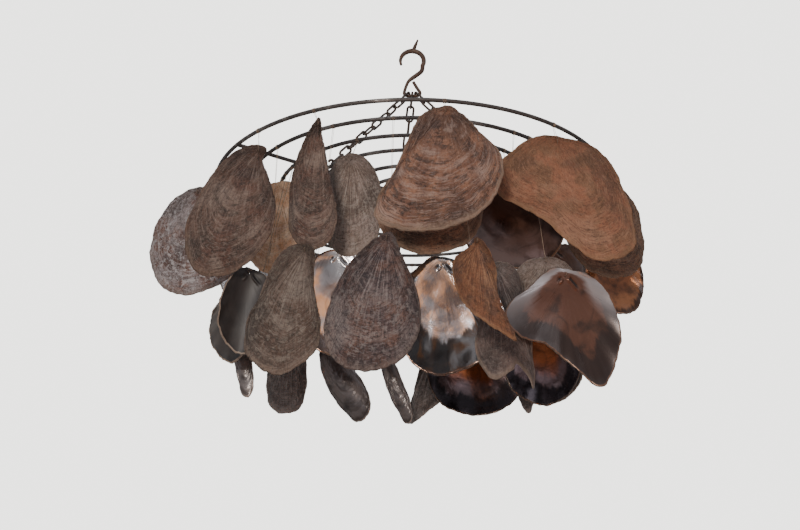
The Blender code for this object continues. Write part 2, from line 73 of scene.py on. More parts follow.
class Nodes:
    """A node tree as it is built. The method add makes every node, and the others call it."""

    def __init__(self, tree: bpy.types.NodeTree) -> None:
        """Takes the tree that the nodes go into."""
        self.tree = tree

    def add(self, kind: str, inputs: dict[Any, Any] | None = None, **settings: Any) -> bpy.types.Node:
        """Adds a node with its settings and links.

        Args:
            kind: The node's type name.
            inputs: Socket name or number to a value, a hex colour, a socket, or a node whose first live
                output is used.
            **settings: Properties of the node.

        Returns:
            The new node.
        """
        node = self.tree.nodes.new(kind)
        for name, value in settings.items():
            setattr(node, name, value)
        for key, value in (inputs or {}).items():
            live = [socket for socket in node.inputs if socket.enabled]
            socket = live[key] if isinstance(key, int) else next(s for s in live if s.name == key)
            if isinstance(value, bpy.types.Node):
                value = next(output for output in value.outputs if output.enabled)
            if isinstance(value, bpy.types.NodeSocket):
                self.tree.links.new(value, socket)
            else:
                is_colour = isinstance(value, str) and value.startswith("#")
                socket.default_value = linear(value) if is_colour else value
        return node

    def calc(self, operation: str, *values: Any) -> bpy.types.Node:
        """Arithmetic on numbers."""
        return self.add("ShaderNodeMath", dict(enumerate(values)), operation=operation)

    def vectors(self, operation: str, *values: Any) -> bpy.types.Node:
        """Arithmetic on vectors."""
        return self.add("ShaderNodeVectorMath", dict(enumerate(values)), operation=operation)

    def axis(self, vector: Any, letter: str) -> bpy.types.NodeSocket:
        """One component of a vector."""
        return self.add("ShaderNodeSeparateXYZ", {0: vector}).outputs[letter]

    def noise(
        self, place: Any, scale: float, detail: float = 2.0, roughness: float = 0.5, distortion: float = 0.0
    ) -> bpy.types.Node:
        """Noise from 0 to 1 at a place."""
        grain = {"Detail": detail, "Roughness": roughness, "Distortion": distortion}
        return self.add("ShaderNodeTexNoise", {"Vector": place, "Scale": scale, **grain})

    def drawn(
        self, growth: Any, turns: float, lines: float, detail: float = 3.0, roughness: float = 0.55
    ) -> bpy.types.Node:
        """Noise on a shell's growth coordinates, drawn out along its lines or its radii.

        Args:
            growth: The coordinates: direction from the umbo, and growth from 0 to 1.
            turns: Marks across the directions; many make radial fibres.
            lines: Marks from umbo to margin; many make growth lines.
            detail: Octaves of the noise.
            roughness: Strength of the finer octaves.

        Returns:
            The noise node.
        """
        return self.noise(self.vectors("MULTIPLY", growth, (turns, turns, lines)), 1.0, detail, roughness)


class Surface(Nodes):
    """A new material's node tree, which ends in a Principled shader."""

    def __init__(self, name: str) -> None:
        """Makes the material and empties its tree."""
        self.made = bpy.data.materials.new(name)
        self.made.use_nodes = True
        super().__init__(self.made.node_tree)
        self.tree.nodes.clear()

    def shade(self, inputs: dict[str, Any]) -> bpy.types.Material:
        """Ends the tree with the shader, and gives back the material."""
        shader = self.add("ShaderNodeBsdfPrincipled", inputs)
        self.add("ShaderNodeOutputMaterial", {"Surface": shader})
        return self.made

    def place(self) -> bpy.types.NodeSocket:
        """The object's own coordinates."""
        return self.add("ShaderNodeTexCoord").outputs["Object"]

    def attribute(self, name: str) -> bpy.types.NodeSocket:
        """A vector that the mesh carries."""
        return self.add("ShaderNodeAttribute", attribute_name=name).outputs["Vector"]

    def remap(
        self, value: Any, low: float, high: float, start: float, end: float, curve: str = "LINEAR"
    ) -> bpy.types.Node:
        """Turns the range from low to high into the range from start to end."""
        ends = {"From Min": low, "From Max": high, "To Min": start, "To Max": end}
        return self.add("ShaderNodeMapRange", {"Value": value, **ends}, interpolation_type=curve)

    def step(self, value: Any, low: float, high: float, top: float = 1.0) -> bpy.types.Node:
        """A smooth step, from 0 where the value is at low to top where it is at high."""
        return self.remap(value, low, high, 0.0, top, "SMOOTHSTEP")

    def over(self, under: Any, colour: Any, amount: Any) -> bpy.types.Node:
        """Lays an amount of one colour over another."""
        return self.add("ShaderNodeMix", {"Factor": amount, "A": under, "B": colour}, data_type="RGBA")

    def layered(self, colour: Any, *layers: tuple[Any, ...]) -> bpy.types.Node:
        """Lays tones over a colour, each by the level of a noise.

        Args:
            colour: The colour beneath them.
            *layers: Each is a tone, the noise, the level where the tone begins, the level where it is full,
                the most that it covers (1 if not given), and a value that holds it back (none if not given).

        Returns:
            The last mix.
        """
        for tone, noise, begins, full, *limits in layers:
            amount = self.step(noise, begins, full, *limits[:1])
            for held in limits[1:]:
                amount = self.calc("MULTIPLY", amount, held)
            colour = self.over(colour, tone, amount)
        return colour

    def heaped(self, height: Any, *shares: tuple[Any, float]) -> Any:
        """Adds shares of other noises to a height."""
        for noise, share in shares:
            height = self.calc("MULTIPLY_ADD", noise, share, height)
        return height

    def bump(self, height: Any, strength: float, distance: float) -> bpy.types.Node:
        """Bends the light by a height."""
        return self.add("ShaderNodeBump", {"Height": height, "Strength": strength, "Distance": distance})


# ---------------------------------------------------------------- meshes


def new_object(name: str, mesh: bpy.types.Mesh) -> bpy.types.Object:
    """Links a mesh to the scene as an object at the origin."""
    made = bpy.data.objects.new(name, mesh)
    bpy.context.scene.collection.objects.link(made)
    return made


def course_mesh(
    name: str, courses: Iterable[Any], radii: Iterable[Any], closed: bool = False
) -> bpy.types.Object:
    """Lays the centre lines of round bars or wires as edges, with each point's bar radius.

    Args:
        name: The object's name.
        courses: Centre lines, each a row of points.
        radii: One radius, or one for each point, for each course.
        closed: Whether each course runs back into its start.

    Returns:
        An object of edges with the point attribute "rod".
    """
    points, edges, rods = [], [], []
    for course, radius in zip(courses, radii):
        first, count = len(points), len(course)
        points.extend(tuple(point) for point in course)
        rods.extend(np.broadcast_to(radius, count).tolist())
        edges.extend((first + step, first + step + 1) for step in range(count - 1))
        if closed:
            edges.append((first + count - 1, first))
    mesh = bpy.data.meshes.new(name)
    mesh.from_pydata(points, edges, [])
    mesh.attributes.new("rod", "FLOAT", "POINT").data.foreach_set("value", rods)
    return new_object(name, mesh)


def point_mesh(name: str, points: Sequence[Any], **vectors: Sequence[Any]) -> bpy.types.Object:
    """Lays loose points, each with its named vectors, for instances to stand on."""
    mesh = bpy.data.meshes.new(name)
    mesh.from_pydata([tuple(point) for point in points], [], [])
    for key, values in vectors.items():
        flat = [component for value in values for component in value]
        mesh.attributes.new(key, "FLOAT_VECTOR", "POINT").data.foreach_set("vector", flat)
    return new_object(name, mesh)


def around(radius: float, angle: float, height: float) -> Vector:
    """The point at an angle in degrees round the upright axis."""
    turn = math.radians(angle)
    return Vector((radius * math.cos(turn), radius * math.sin(turn), height))


def eased(before: Any, start: Any, end: Any, after: Any, u: Any) -> Any:
    """The place at u, from 0 to 1, of a smooth curve from start to end through both neighbours."""
    return (
        start
        + (end - before) * u / 2
        + (2 * before - 5 * start + 4 * end - after) * u**2 / 2
        + (3 * start - before - 3 * end + after) * u**3 / 2
    )


def smoothed(points: Sequence[Vector], per_span: int) -> list[Vector]:
    """A smooth course through given points, with a number of straight runs between neighbours."""
    course, last = [], len(points) - 1
    for first in range(last):
        corners = [points[min(max(first + step, 0), last)] for step in (-1, 0, 1, 2)]
        course.extend(eased(*corners, step / per_span) for step in range(per_span))
    return course + [points[-1]]


def keep(piece: bpy.types.Object, slot: str, *nodes: str) -> None:
    """Rides a finished piece on the body and hides the CAD nodes it stands for.

    Args:
        piece: The finished mesh object.
        slot: A material slot's name; not used.
        *nodes: CAD nodes that it replaces.
    """
    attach(piece, BODY)
    if nodes:
        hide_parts(*nodes)
    LOG.info("%s: %d faces", piece.name, len(piece.data.polygons))


# ---------------------------------------------------------------- geometry trees


class GrowTree(Nodes):
    """A Geometry Nodes tree with named inputs that ends in Realize Instances and Set Material."""

    SOCKETS = {float: "NodeSocketFloat", int: "NodeSocketInt"}

    def __init__(self, name: str, **sizes: float | int) -> None:
        """Opens the tree.

        Args:
            name: The tree's name.
            **sizes: Named inputs and what they are until a piece sets them.
        """
        super().__init__(bpy.data.node_groups.new(name, "GeometryNodeTree"))
        self.sockets: dict[str, str] = {}
        self.tree.interface.new_socket("Geometry", in_out="OUTPUT", socket_type="NodeSocketGeometry")
        self.add_input("Geometry", "NodeSocketGeometry")
        for key, value in sizes.items():
            self.add_input(key, self.SOCKETS[type(value)]).default_value = value
        self.add_input("finish", "NodeSocketMaterial")
        self.inside = self.tree.nodes.new("NodeGroupInput")

    def add_input(self, key: str, kind: str) -> bpy.types.NodeTreeInterfaceSocket:
        """Adds a named input."""
        made = self.tree.interface.new_socket(key, in_out="INPUT", socket_type=kind)
        self.sockets[key] = made.identifier
        return made

    def size(self, key: str) -> bpy.types.NodeSocket:
        """The named input's socket inside the tree."""
        return self.inside.outputs[key]

    def named(self, name: str, kind: str = "FLOAT_VECTOR") -> bpy.types.Node:
        """A value that the mesh carries."""
        return self.add("GeometryNodeInputNamedAttribute", {"Name": name}, data_type=kind)

    def round_wire(self, line: bpy.types.Node, sides: Any, radius: Any, capped: bool) -> bpy.types.Node:
        """Runs a round section along a curve."""
        section = self.add("GeometryNodeCurvePrimitiveCircle", {"Resolution": sides, "Radius": 1.0})
        swept = {"Curve": line, "Profile Curve": section, "Scale": radius, "Fill Caps": capped}
        return self.add("GeometryNodeCurveToMesh", swept)

    def moved(self, shape: Any, offset: Any) -> bpy.types.Node:
        """Moves a shape's points by a vector."""
        return self.add("GeometryNodeSetPosition", {"Geometry": shape, "Offset": offset})

    def raised(self, shape: Any, height: Any) -> bpy.types.Node:
        """Moves a shape's points along their normals."""
        return self.moved(shape, self.vectors("SCALE", self.add("GeometryNodeInputNormal"), height))

    def centred(self, noise: bpy.types.Node, height: Any) -> bpy.types.Node:
        """A noise about nought, times a height."""
        return self.calc("MULTIPLY", self.calc("SUBTRACT", noise, 0.5), height)

    def dented(self, shape: bpy.types.Node) -> bpy.types.Node:
        """Dents a shape by a seeded noise, by the inputs unevenness, grain and seed."""
        scale = self.calc("DIVIDE", 1.0, self.size("grain"))
        place = self.add("GeometryNodeInputPosition")
        noise = self.add(
            "ShaderNodeTexNoise",
            {"Vector": place, "W": self.size("seed"), "Scale": scale, "Detail": 2.0},
            noise_dimensions="4D",
        )
        return self.raised(shape, self.centred(noise, self.size("unevenness")))

    def on_points(self, shape: bpy.types.Node, turned: Any, scale: Place = (1.0, 1.0, 1.0)) -> bpy.types.Node:
        """Stands a copy of a shape on each point that the tree is given."""
        stood = {"Points": self.size("Geometry"), "Instance": shape, "Rotation": turned, "Scale": scale}
        return self.add("GeometryNodeInstanceOnPoints", stood)

    def real(self, shape: bpy.types.Node) -> bpy.types.Node:
        """Makes instances real."""
        return self.add("GeometryNodeRealizeInstances", {"Geometry": shape})

    def dressed(self, shape: bpy.types.Node) -> bpy.types.Node:
        """Makes a shape real and smooth, in the material that the tree is given."""
        smooth = self.add("GeometryNodeSetShadeSmooth", {"Geometry": self.real(shape)})
        return self.add("GeometryNodeSetMaterial", {"Geometry": smooth, "Material": self.size("finish")})

    def close(self, shape: bpy.types.Node) -> "GrowTree":
        """Ends the tree with what it gives out."""
        self.add("NodeGroupOutput", {0: shape})
        return self

    def grow(self, source: bpy.types.Object, name: str, **values: Any) -> bpy.types.Object:
        """Runs the tree on an object and keeps the result as a plain mesh.

        Args:
            source: The object of points, edges or faces that the tree starts from. It is removed.
            name: The finished piece's name.
            **values: Named inputs of this piece.

        Returns:
            The finished object.
        """
        modifier = source.modifiers.new(self.tree.name, "NODES")
        modifier.node_group = self.tree
        for key, value in values.items():
            modifier[self.sockets[key]] = value
        graph = bpy.context.evaluated_depsgraph_get()
        mesh = bpy.data.meshes.new_from_object(
            source.evaluated_get(graph), preserve_all_data_layers=True, depsgraph=graph
        )
        source.modifiers.remove(modifier)
        bpy.data.objects.remove(source, do_unlink=True)
        mesh.name = name
        return new_object(name, mesh)


def bar_tree() -> GrowTree:
    """Round bar or wire along edges, a little uneven as forged and drawn bar is."""
    grown = GrowTree("round_bar", sides=12, unevenness=0.1 * MM, grain=0.006, seed=1.0)
    line = grown.add("GeometryNodeMeshToCurve", {"Mesh": grown.size("Geometry")})
    bar = grown.round_wire(line, grown.size("sides"), grown.named("rod", "FLOAT"), capped=True)
    return grown.close(grown.dressed(grown.dented(bar)))


def bead_tree() -> GrowTree:
    """Lumps of weld metal on points, each flattened and turned along its bar."""
    grown = GrowTree("weld_beads", size=3.4 * MM, unevenness=1.2 * MM, grain=0.003, seed=4.0)
    ball = grown.add("GeometryNodeMeshIcoSphere", {"Radius": grown.size("size"), "Subdivisions": 3})
    turned = grown.add("FunctionNodeAlignRotationToVector", {"Vector": grown.named("along")}, axis="X")
    beads = grown.on_points(ball, turned, scale=(1.35, 1.0, 0.85))
    return grown.close(grown.dressed(grown.dented(grown.real(beads))))


def link_tree() -> GrowTree:
    """Oval chain links on points, each turned by its own axes."""
    grown = GrowTree(
        "chain_links",
        wire_radius=0.0,
        half_width=0.0,
        length=0.0,
        unevenness=0.15 * MM,
        grain=0.004,
        seed=2.0,
    )
    half_width = grown.size("half_width")
    bend = grown.add("GeometryNodeCurvePrimitiveCircle", {"Resolution": 20, "Radius": half_width})
    side = grown.calc("SIGN", grown.axis(grown.add("GeometryNodeInputPosition"), "X"))
    straight = grown.calc("SUBTRACT", grown.calc("MULTIPLY", grown.size("length"), 0.5), half_width)
    apart = grown.add("ShaderNodeCombineXYZ", {"X": grown.calc("MULTIPLY", side, straight)})
    link = grown.round_wire(grown.moved(bend, apart), 8, grown.size("wire_radius"), capped=False)
    turned = grown.add(
        "FunctionNodeAxesToRotation",
        {"Primary Axis": grown.named("down"), "Secondary Axis": grown.named("across")},
        primary_axis="X",
        secondary_axis="Y",
    )
    return grown.close(grown.dressed(grown.dented(grown.real(grown.on_points(link, turned)))))


def coil_tree() -> GrowTree:
    """Close coils of tie wire round a bar, one on each point."""
    grown = GrowTree("tie_coils", wire_radius=0.45 * MM, coil_radius=0.0, turns=4.25, pitch=1.0 * MM)
    turns, radius = grown.size("turns"), grown.size("coil_radius")
    height = grown.calc("MULTIPLY", turns, grown.size("pitch"))
    bent = {"Start Radius": radius, "End Radius": radius, "Height": height}
    spiral = grown.add("GeometryNodeCurveSpiral", {"Resolution": 14, "Rotations": turns, **bent})
    wire = grown.round_wire(spiral, 5, grown.size("wire_radius"), capped=True)
    down = grown.add("ShaderNodeCombineXYZ", {"Z": grown.calc("MULTIPLY", height, -0.5)})
    turned = grown.add("FunctionNodeAlignRotationToVector", {"Vector": grown.named("along")}, axis="Z")
    return grown.close(grown.dressed(grown.on_points(grown.moved(wire, down), turned)))


def relief_tree() -> GrowTree:
    """Growth relief of a shell's outside: shingled lamellae, fine lines, radial fibres and lumps."""
    grown = GrowTree(
        "growth_relief",
        lamellae=11.0,
        lamella_height=0.9 * MM,
        line_height=0.5 * MM,
        fibre_height=0.5 * MM,
        lump_height=1.6 * MM,
    )
    grown.add_input("nacre", "NodeSocketMaterial")
    growth = grown.named("growth")

    def waves(turns: float, lines: float, height: str) -> bpy.types.Node:
        """Noise drawn out along or across the growth lines, times a named height."""
        return grown.centred(grown.drawn(growth, turns, lines, 2.0, 0.5), grown.size(height))

    wander = waves(1.6, 4.0, "lamellae")
    count = grown.calc("MULTIPLY_ADD", grown.axis(growth, "Z"), grown.size("lamellae"), wander)
    rise = grown.calc("POWER", grown.calc("FRACT", count), 1.6)
    total = grown.calc("MULTIPLY", rise, grown.size("lamella_height"))
    lumps = grown.calc("MULTIPLY", grown.noise(grown.named("flat"), 70.0, 3.0), grown.size("lump_height"))
    for layer in (waves(2.0, 48.0, "line_height"), waves(17.0, 2.4, "fibre_height"), lumps):
        total = grown.calc("ADD", total, layer)
    height = grown.calc("MULTIPLY", total, grown.named("relief", "FLOAT"))
    lined = {
        "Geometry": grown.dressed(grown.raised(grown.size("Geometry"), height)),
        "Selection": grown.named("nacre_side", "BOOLEAN"),
        "Material": grown.size("nacre"),
    }
    return grown.close(grown.add("GeometryNodeSetMaterial", lined))


# ---------------------------------------------------------------- finishes


@dataclass(frozen=True)
class Coat:
    """Weathered outside of one shell: oiled, sea-worn prismatic layer. It is dull, with growth lines."""

    name: str
    base: str
    second: str
    dark: str
    pale: str
    rim: str
    bands: float = 0.55
    lines: float = 0.55
    fibres: float = 0.45
    crust: float = 0.35
    pits: float = 0.4
    roughness: float = 0.52
    rim_from: float = 0.98
    crack: str = "#1f1614"

    ZONE_SIZE = 62 * MM
    MOTTLE_SIZE = 30 * MM
    CRUST_SIZE = 8 * MM
    PIT_SIZE = 3.2 * MM
    SWAY_SIZE = 55 * MM
    WANDER = 0.11  # how far the growth lines sway
    FRAY = 0.10  # how far the pale rim frays
    CROWDING = 1.7  # growth lines crowd towards the margin
    RELIEF = 2.2 * MM
    SHEEN = 0.42

    def material(self) -> bpy.types.Material:
        """Builds the coat's material on the shell's own growth and flat coordinates."""
        made = Surface(f"weathered_shell_{self.name}")
        growth, flat = made.attribute("growth"), made.attribute("flat")
        size = made.axis(growth, "Z")
        sway = made.heaped(size, (made.noise(flat, 1 / self.SWAY_SIZE), self.WANDER))
        lift = made.calc("SUBTRACT", made.calc("POWER", sway, self.CROWDING), size)
        swayed = made.vectors("ADD", growth, made.add("ShaderNodeCombineXYZ", {"Z": lift}))

        bands = made.drawn(swayed, 1.6, 13.0, 4.0, 0.6)
        lines = made.drawn(swayed, 8.0, 66.0, 4.0, 0.7)
        cracks = made.drawn(swayed, 9.0, 40.0, 3.0, 0.6)
        fibres = made.drawn(growth, 44.0, 3.6, 4.0, 0.65)
        threads = made.drawn(growth, 90.0, 9.0, 2.0, 0.6)
        zones = made.noise(flat, 1 / self.ZONE_SIZE)
        mottle = made.noise(flat, 1 / self.MOTTLE_SIZE, 5.0, 0.6)
        crust = made.noise(flat, 1 / self.CRUST_SIZE, 4.0, 0.7)
        pits = made.noise(flat, 1 / self.PIT_SIZE, 3.0, distortion=0.6)

        patchy = made.step(crust, 0.38, 0.58)
        near_umbo = made.step(size, 1.05, 0.25, self.fibres)
        outward = made.step(size, 0.15, 0.75)
        flaking = made.calc("MULTIPLY", outward, patchy)
        frayed = made.heaped(size, (crust, self.FRAY))
        colour = made.layered(
            self.base,
            (self.second, mottle, 0.42, 0.58),
            (self.dark, zones, 0.52, 0.66, 0.62),
            (self.pale, zones, 0.47, 0.32, 0.50),
            (self.dark, bands, 0.51, 0.57, self.bands, patchy),
            (self.pale, bands, 0.48, 0.36, self.bands * 0.5),
            (self.dark, fibres, 0.50, 0.62, 1.0, near_umbo),
            (self.pale, fibres, 0.48, 0.36, 1.0, near_umbo),
            (self.dark, lines, 0.53, 0.59, self.lines, flaking),
            (self.pale, lines, 0.45, 0.39, self.lines * 0.6, outward),
            (self.crack, cracks, 0.58, 0.61, 0.85 * self.bands + 0.15, flaking),
            (self.dark, threads, 0.52, 0.62, 0.55 * self.fibres, outward),
            (self.pale, crust, 0.52, 0.60, self.crust, outward),
            (self.rim, frayed, self.rim_from, self.rim_from + 0.06, 0.6),
            (self.dark, pits, 0.54, 0.66, self.pits),
            (self.pale, pits, 0.42, 0.32, self.pits * 0.6),
        )
        height = made.heaped(lines, (fibres, 0.5), (crust, 0.7), (pits, -0.35))
        return made.shade(
            {
                "Base Color": colour,
                "Roughness": made.remap(crust, 0.35, 0.7, self.roughness - 0.08, 0.85),
                "Normal": made.bump(height, 1.0, self.RELIEF),
                "Specular IOR Level": self.SHEEN,
            }
        )


@dataclass(frozen=True)
class Pearl:
    """Polished mother-of-pearl inside of a shell: silver to bronze nacre under a waxed shine."""

    name: str
    heart: str
    silver: str
    shade: str
    margin: str
    rim: str
    heart_end: float = 0.55
    margin_from: float = 0.80
    patches: float = 0.5
    metallic: float = 0.55
    roughness: float = 0.17
    crown: float = 0.0
    swell: float = 0.3
    wax: float = 0.35
    # Near-black painted shade, laid in the hinge grooves where shade falls.
    groove_shade: str = "#17110f"

    PATCH_SIZE = 34 * MM
    RIPPLE_SIZE = 52 * MM
    LOBES = 0.34  # how far the zones' edges wander in lobes
    FRINGE = 0.12  # and in a fine fringe
    RELIEF = 14 * MM
    WAX_ROUGHNESS = 0.12

    def material(self) -> bpy.types.Material:
        """Builds the nacre's material on the shell's own growth and flat coordinates."""
        made = Surface(f"polished_nacre_{self.name}")
        growth, flat, scar_and_groove_shade = (made.attribute(name) for name in ("growth", "flat", "scar_and_groove_shade"))
        size = made.axis(growth, "Z")

        fringe = made.drawn(growth, 26.0, 2.0, 3.0, 0.6)
        striae = made.drawn(growth, 60.0, 3.0, 2.0)
        rings = made.drawn(growth, 1.4, 16.0, 2.0)
        patch = made.noise(flat, 1 / self.PATCH_SIZE, 4.0, 0.55)
        ripple = made.noise(flat, 1 / self.RIPPLE_SIZE, 0.5)

        ragged = made.heaped(size, (made.drawn(growth, 3.0, 2.0), self.LOBES), (fringe, self.FRINGE))
        mean = (self.LOBES + self.FRINGE) / 2
        heart, edge = self.heart_end + mean, self.margin_from + mean
        crown = made.step(made.axis(growth, "Y"), -0.80, -0.45, self.crown)
        colour = made.layered(
            self.heart,
            (self.silver, ragged, heart - 0.06, heart + 0.12),
            (self.shade, patch, 0.48, 0.66, self.patches),
            (self.silver, striae, 0.55, 0.72, 0.04),
            (self.shade, rings, 0.56, 0.70, 0.35),
            (self.margin, ragged, edge - 0.02, edge + 0.05, 0.92),
            (self.silver, ragged, 0.62, 0.86, 1.0, crown),
            (self.rim, size, 0.978, 0.992, 0.7),
        )
        # Y of scar_and_groove_shade is the muscle scar; X is painted shade in the hinge grooves.
        colour = made.over(colour, self.shade, made.axis(scar_and_groove_shade, "Y"))
        colour = made.over(colour, self.groove_shade, made.axis(scar_and_groove_shade, "X"))
        height = made.heaped(ripple, (striae, 0.002), (patch, 0.10))
        return made.shade(
            {
                "Base Color": colour,
                "Roughness": made.remap(fringe, 0.3, 0.7, self.roughness - 0.03, self.roughness + 0.07),
                "Normal": made.bump(height, self.swell, self.RELIEF),
                "Metallic": self.metallic,
                "Coat Weight": self.wax,
                "Coat Roughness": self.WAX_ROUGHNESS,
            }
        )


@dataclass(frozen=True)
class Iron:
    """Worked iron: a dark scaled surface, rubbed to grey metal or rusted where it wears."""

    name: str
    scale_colour: str
    worn: str
    rust: str
    wear: float
    rusting: float
    patch: float
    metallic: float
    roughness: float

    def material(self) -> bpy.types.Material:
        """Builds the metal's material on object coordinates."""
        made = Surface(self.name)
        place = made.place()
        worn = made.noise(place, 1 / self.patch, 5.0)
        spots = made.noise(place, 3 / self.patch, 4.0, 0.65)
        grit = made.noise(place, 1 / MM)
        wear, rust = (self.worn, worn, 0.48, 0.66, self.wear), (self.rust, spots, 0.50, 0.66, self.rusting)
        return made.shade(
            {
                "Base Color": made.layered(self.scale_colour, wear, rust),
                "Roughness": made.remap(spots, 0.3, 0.7, self.roughness, 0.85),
                "Metallic": made.remap(spots, 0.45, 0.66, self.metallic, 0.25),
                "Normal": made.bump(made.heaped(spots, (grit, 0.3)), 0.12, 0.3 * MM),
            }
        )


@dataclass(frozen=True)
class Moulded:
    """Moulded phenolic plastic: near black, with a faint swirl and a satin, handled surface."""

    name: str = "moulded_phenolic"
    body: str = "#2a2421"
    swirl: str = "#3a312c"
    dust: str = "#6d645c"

    def material(self) -> bpy.types.Material:
        """Builds the plastic's material on object coordinates."""
        made = Surface(self.name)
        place = made.place()
        swirl = made.noise(place, 1 / (9 * MM), 3.0, distortion=1.2)
        dust = made.noise(place, 1 / (2 * MM), 3.0)
        return made.shade(
            {
                "Base Color": made.layered(
                    self.body, (self.swirl, swirl, 0.45, 0.65), (self.dust, dust, 0.55, 0.72, 0.3)
                ),
                "Roughness": made.remap(dust, 0.4, 0.7, 0.32, 0.6),
                "Normal": made.bump(dust, 0.25, 0.2 * MM),
            }
        )


@dataclass(frozen=True)
class LitGlass:
    """Lit tungsten bulb of satin-etched glass: it glows warm and even, with a faint gloss."""

    name: str = "etched_lamp_glass"
    body: str = "#e9c79a"
    cloud: str = "#d9a765"
    glow: str = "#ffa050"
    strength: float = 1.0

    def material(self) -> bpy.types.Material:
        """Builds the glass's material on object coordinates."""
        made = Surface(self.name)
        etch = made.noise(made.place(), 1 / (6 * MM), 3.0)
        return made.shade(
            {
                "Base Color": made.layered(self.body, (self.cloud, etch, 0.4, 0.65)),
                "Roughness": made.remap(etch, 0.3, 0.7, 0.25, 0.4),
                "Emission Color": self.glow,
                "Emission Strength": self.strength,
            }
        )


@dataclass(frozen=True)
class Plaster:
    """Rolled white emulsion on a smooth floor: pale and matt, with a hardly seen tone change."""

    name: str = "pale_floor_paint"
    body: str = "#e8e6e2"
    tone: str = "#dedbd6"
    roughness: float = 0.9

    def material(self) -> bpy.types.Material:
        """Builds the floor's material on object coordinates."""
        made = Surface(self.name)
        colour = made.layered(self.body, (self.tone, made.noise(made.place(), 0.4), 0.3, 0.7))
        return made.shade({"Base Color": colour, "Roughness": self.roughness})


# Coats, from pale grey to orange and near black.
ASH = Coat(
    "ash", "#8a7f7e", "#74564a", "#30221f", "#c4c0c2", "#7d6f69", 0.60, 0.70, 0.35, 0.60, 0.50,
    roughness=0.38,
)
UMBER = Coat("umber", "#5a453b", "#583c31", "#1c1411", "#8a7b71", "#6e5a4d", 0.70, 0.85, 0.50, 0.38, 0.42)
# Pale tan raised and warmed towards orange: painted warm lamplight over the shell's own tan.
DUN_PAINTED_LAMPLIGHT = Coat("dun_painted_lamplight", "#f2cba8", "#e0a97f", "#8a5f46", "#efd9c8", "#c8a488", 0.35, 0.55, 0.65, 0.25, 0.30)
DRIFT = Coat("drift", "#62534a", "#56443a", "#251e19", "#8b8279", "#746459", 0.60, 0.75, 0.65, 0.42, 0.42)
GULL = Coat("gull", "#93827a", "#7c6a5f", "#463b34", "#ada29a", "#8a7b70", 0.45, 0.65, 0.75, 0.45, 0.45)
TAN = Coat("tan", "#8b634c", "#6d4c3c", "#2c1d19", "#a39087", "#94806f", 0.85, 0.80, 0.22, 0.22, 0.22)
AMBER = Coat("amber", "#93634a", "#7d5b43", "#4c3526", "#a7826a", "#8f6e53", 0.40, 0.75, 0.20, 0.20, 0.25)
BARK = Coat("bark", "#8e6952", "#745643", "#33251e", "#a08875", "#86705f", 0.75, 0.85, 0.40, 0.30, 0.38)
MOTH = Coat("moth", "#64493f", "#50403f", "#17131a", "#8b8381", "#6c5f59", 0.60, 0.75, 0.80, 0.50, 0.60)
CEDAR = Coat("cedar", "#7f533a", "#67493a", "#2c1e18", "#a27c5e", "#9c7454", 0.30, 0.35, 1.00, 0.20, 0.30)
SLATE = Coat(
    "slate", "#75655f", "#5f534f", "#312927", "#9a908c", "#8a7a6d", 0.25, 0.35, 0.85, 0.25, 0.20,
    roughness=0.40,
)
CHAR = Coat(
    "char", "#736a66", "#5c5350", "#282221", "#aaa4a2", "#9a908a", 0.35, 0.50, 1.00, 0.25, 0.25,
    roughness=0.36,
)


# Nacres, from bright silver to near black.
SILVER = Pearl(
    "silver", "#c6c2c2", "#e4e2e4", "#8a8080", "#4a3a34", "#8a6a54", 0.34, 0.80, 0.35, 0.72, 0.14, swell=0.40
)
STORM = Pearl(
    "storm", "#aaa6a6", "#d8d6d8", "#776e6d", "#100c0b", "#7a6052", 0.40, 0.64, 0.35, 0.82, 0.14, swell=0.45,
    wax=0.10,
)
BRONZE = Pearl(
    "bronze", "#5a3a2c", "#979090", "#2d201a", "#2a1e1a", "#745644", 0.93, 0.70, 0.75, 0.50, 0.30, crown=0.85,
    wax=0.08,
)
TOBACCO = Pearl(
    "tobacco", "#5c4034", "#66504a", "#302019", "#3a2b25", "#86644c", 0.50, 0.94, 0.60, 0.50, swell=0.6
)
UMBRA = Pearl(
    "umbra", "#241c19", "#2e2724", "#181210", "#1c1614", "#9a8878", 0.50, 0.92, 0.50, 0.0, 0.48, wax=0.0
)
SLIVER = Pearl(
    "sliver", "#4f4745", "#787170", "#2c2523", "#4c423e", "#a89a92", 0.35, 0.93, 0.65, 0.35, 0.30, swell=0.15,
    wax=0.15,
)
# Copper-brown nacre, brightened as painted warm lamp reflection over its own tone.
COPPER_PAINTED_REFLECTION = Pearl(
    "copper_painted_reflection", "#8a5232", "#a86c46", "#2c1a12", "#3a241a", "#7c5c4c", 0.70, 0.93, 0.70, 0.85, 0.18, swell=1.0
)
# Dark nacre whose orange-brown heart near the umbo is painted warm lamp reflection.
INK_PAINTED_REFLECTION = Pearl(
    "ink", "#b46a42", "#7a686a", "#3a2820", "#1e1b20", "#66584f", 0.56, 0.76, 0.35, 0.80, 0.18, swell=0.8,
    wax=0.10,
)

# ---------------------------------------------------------------- shells

FRAME_R = 0.320
RING_RATIOS = (1.0, 0.842, 0.68, 0.535, 0.37, 0.24)
FRAME_Z = -0.2771
ROD_R = 0.0030
SPOKE_ANGLES = (216.0, 336.0, 96.0)
GAP = 0.0005


def ring_radius(index: int) -> float:
    """Centre-line radius of one of the frame's rings."""
    return FRAME_R * RING_RATIOS[index]


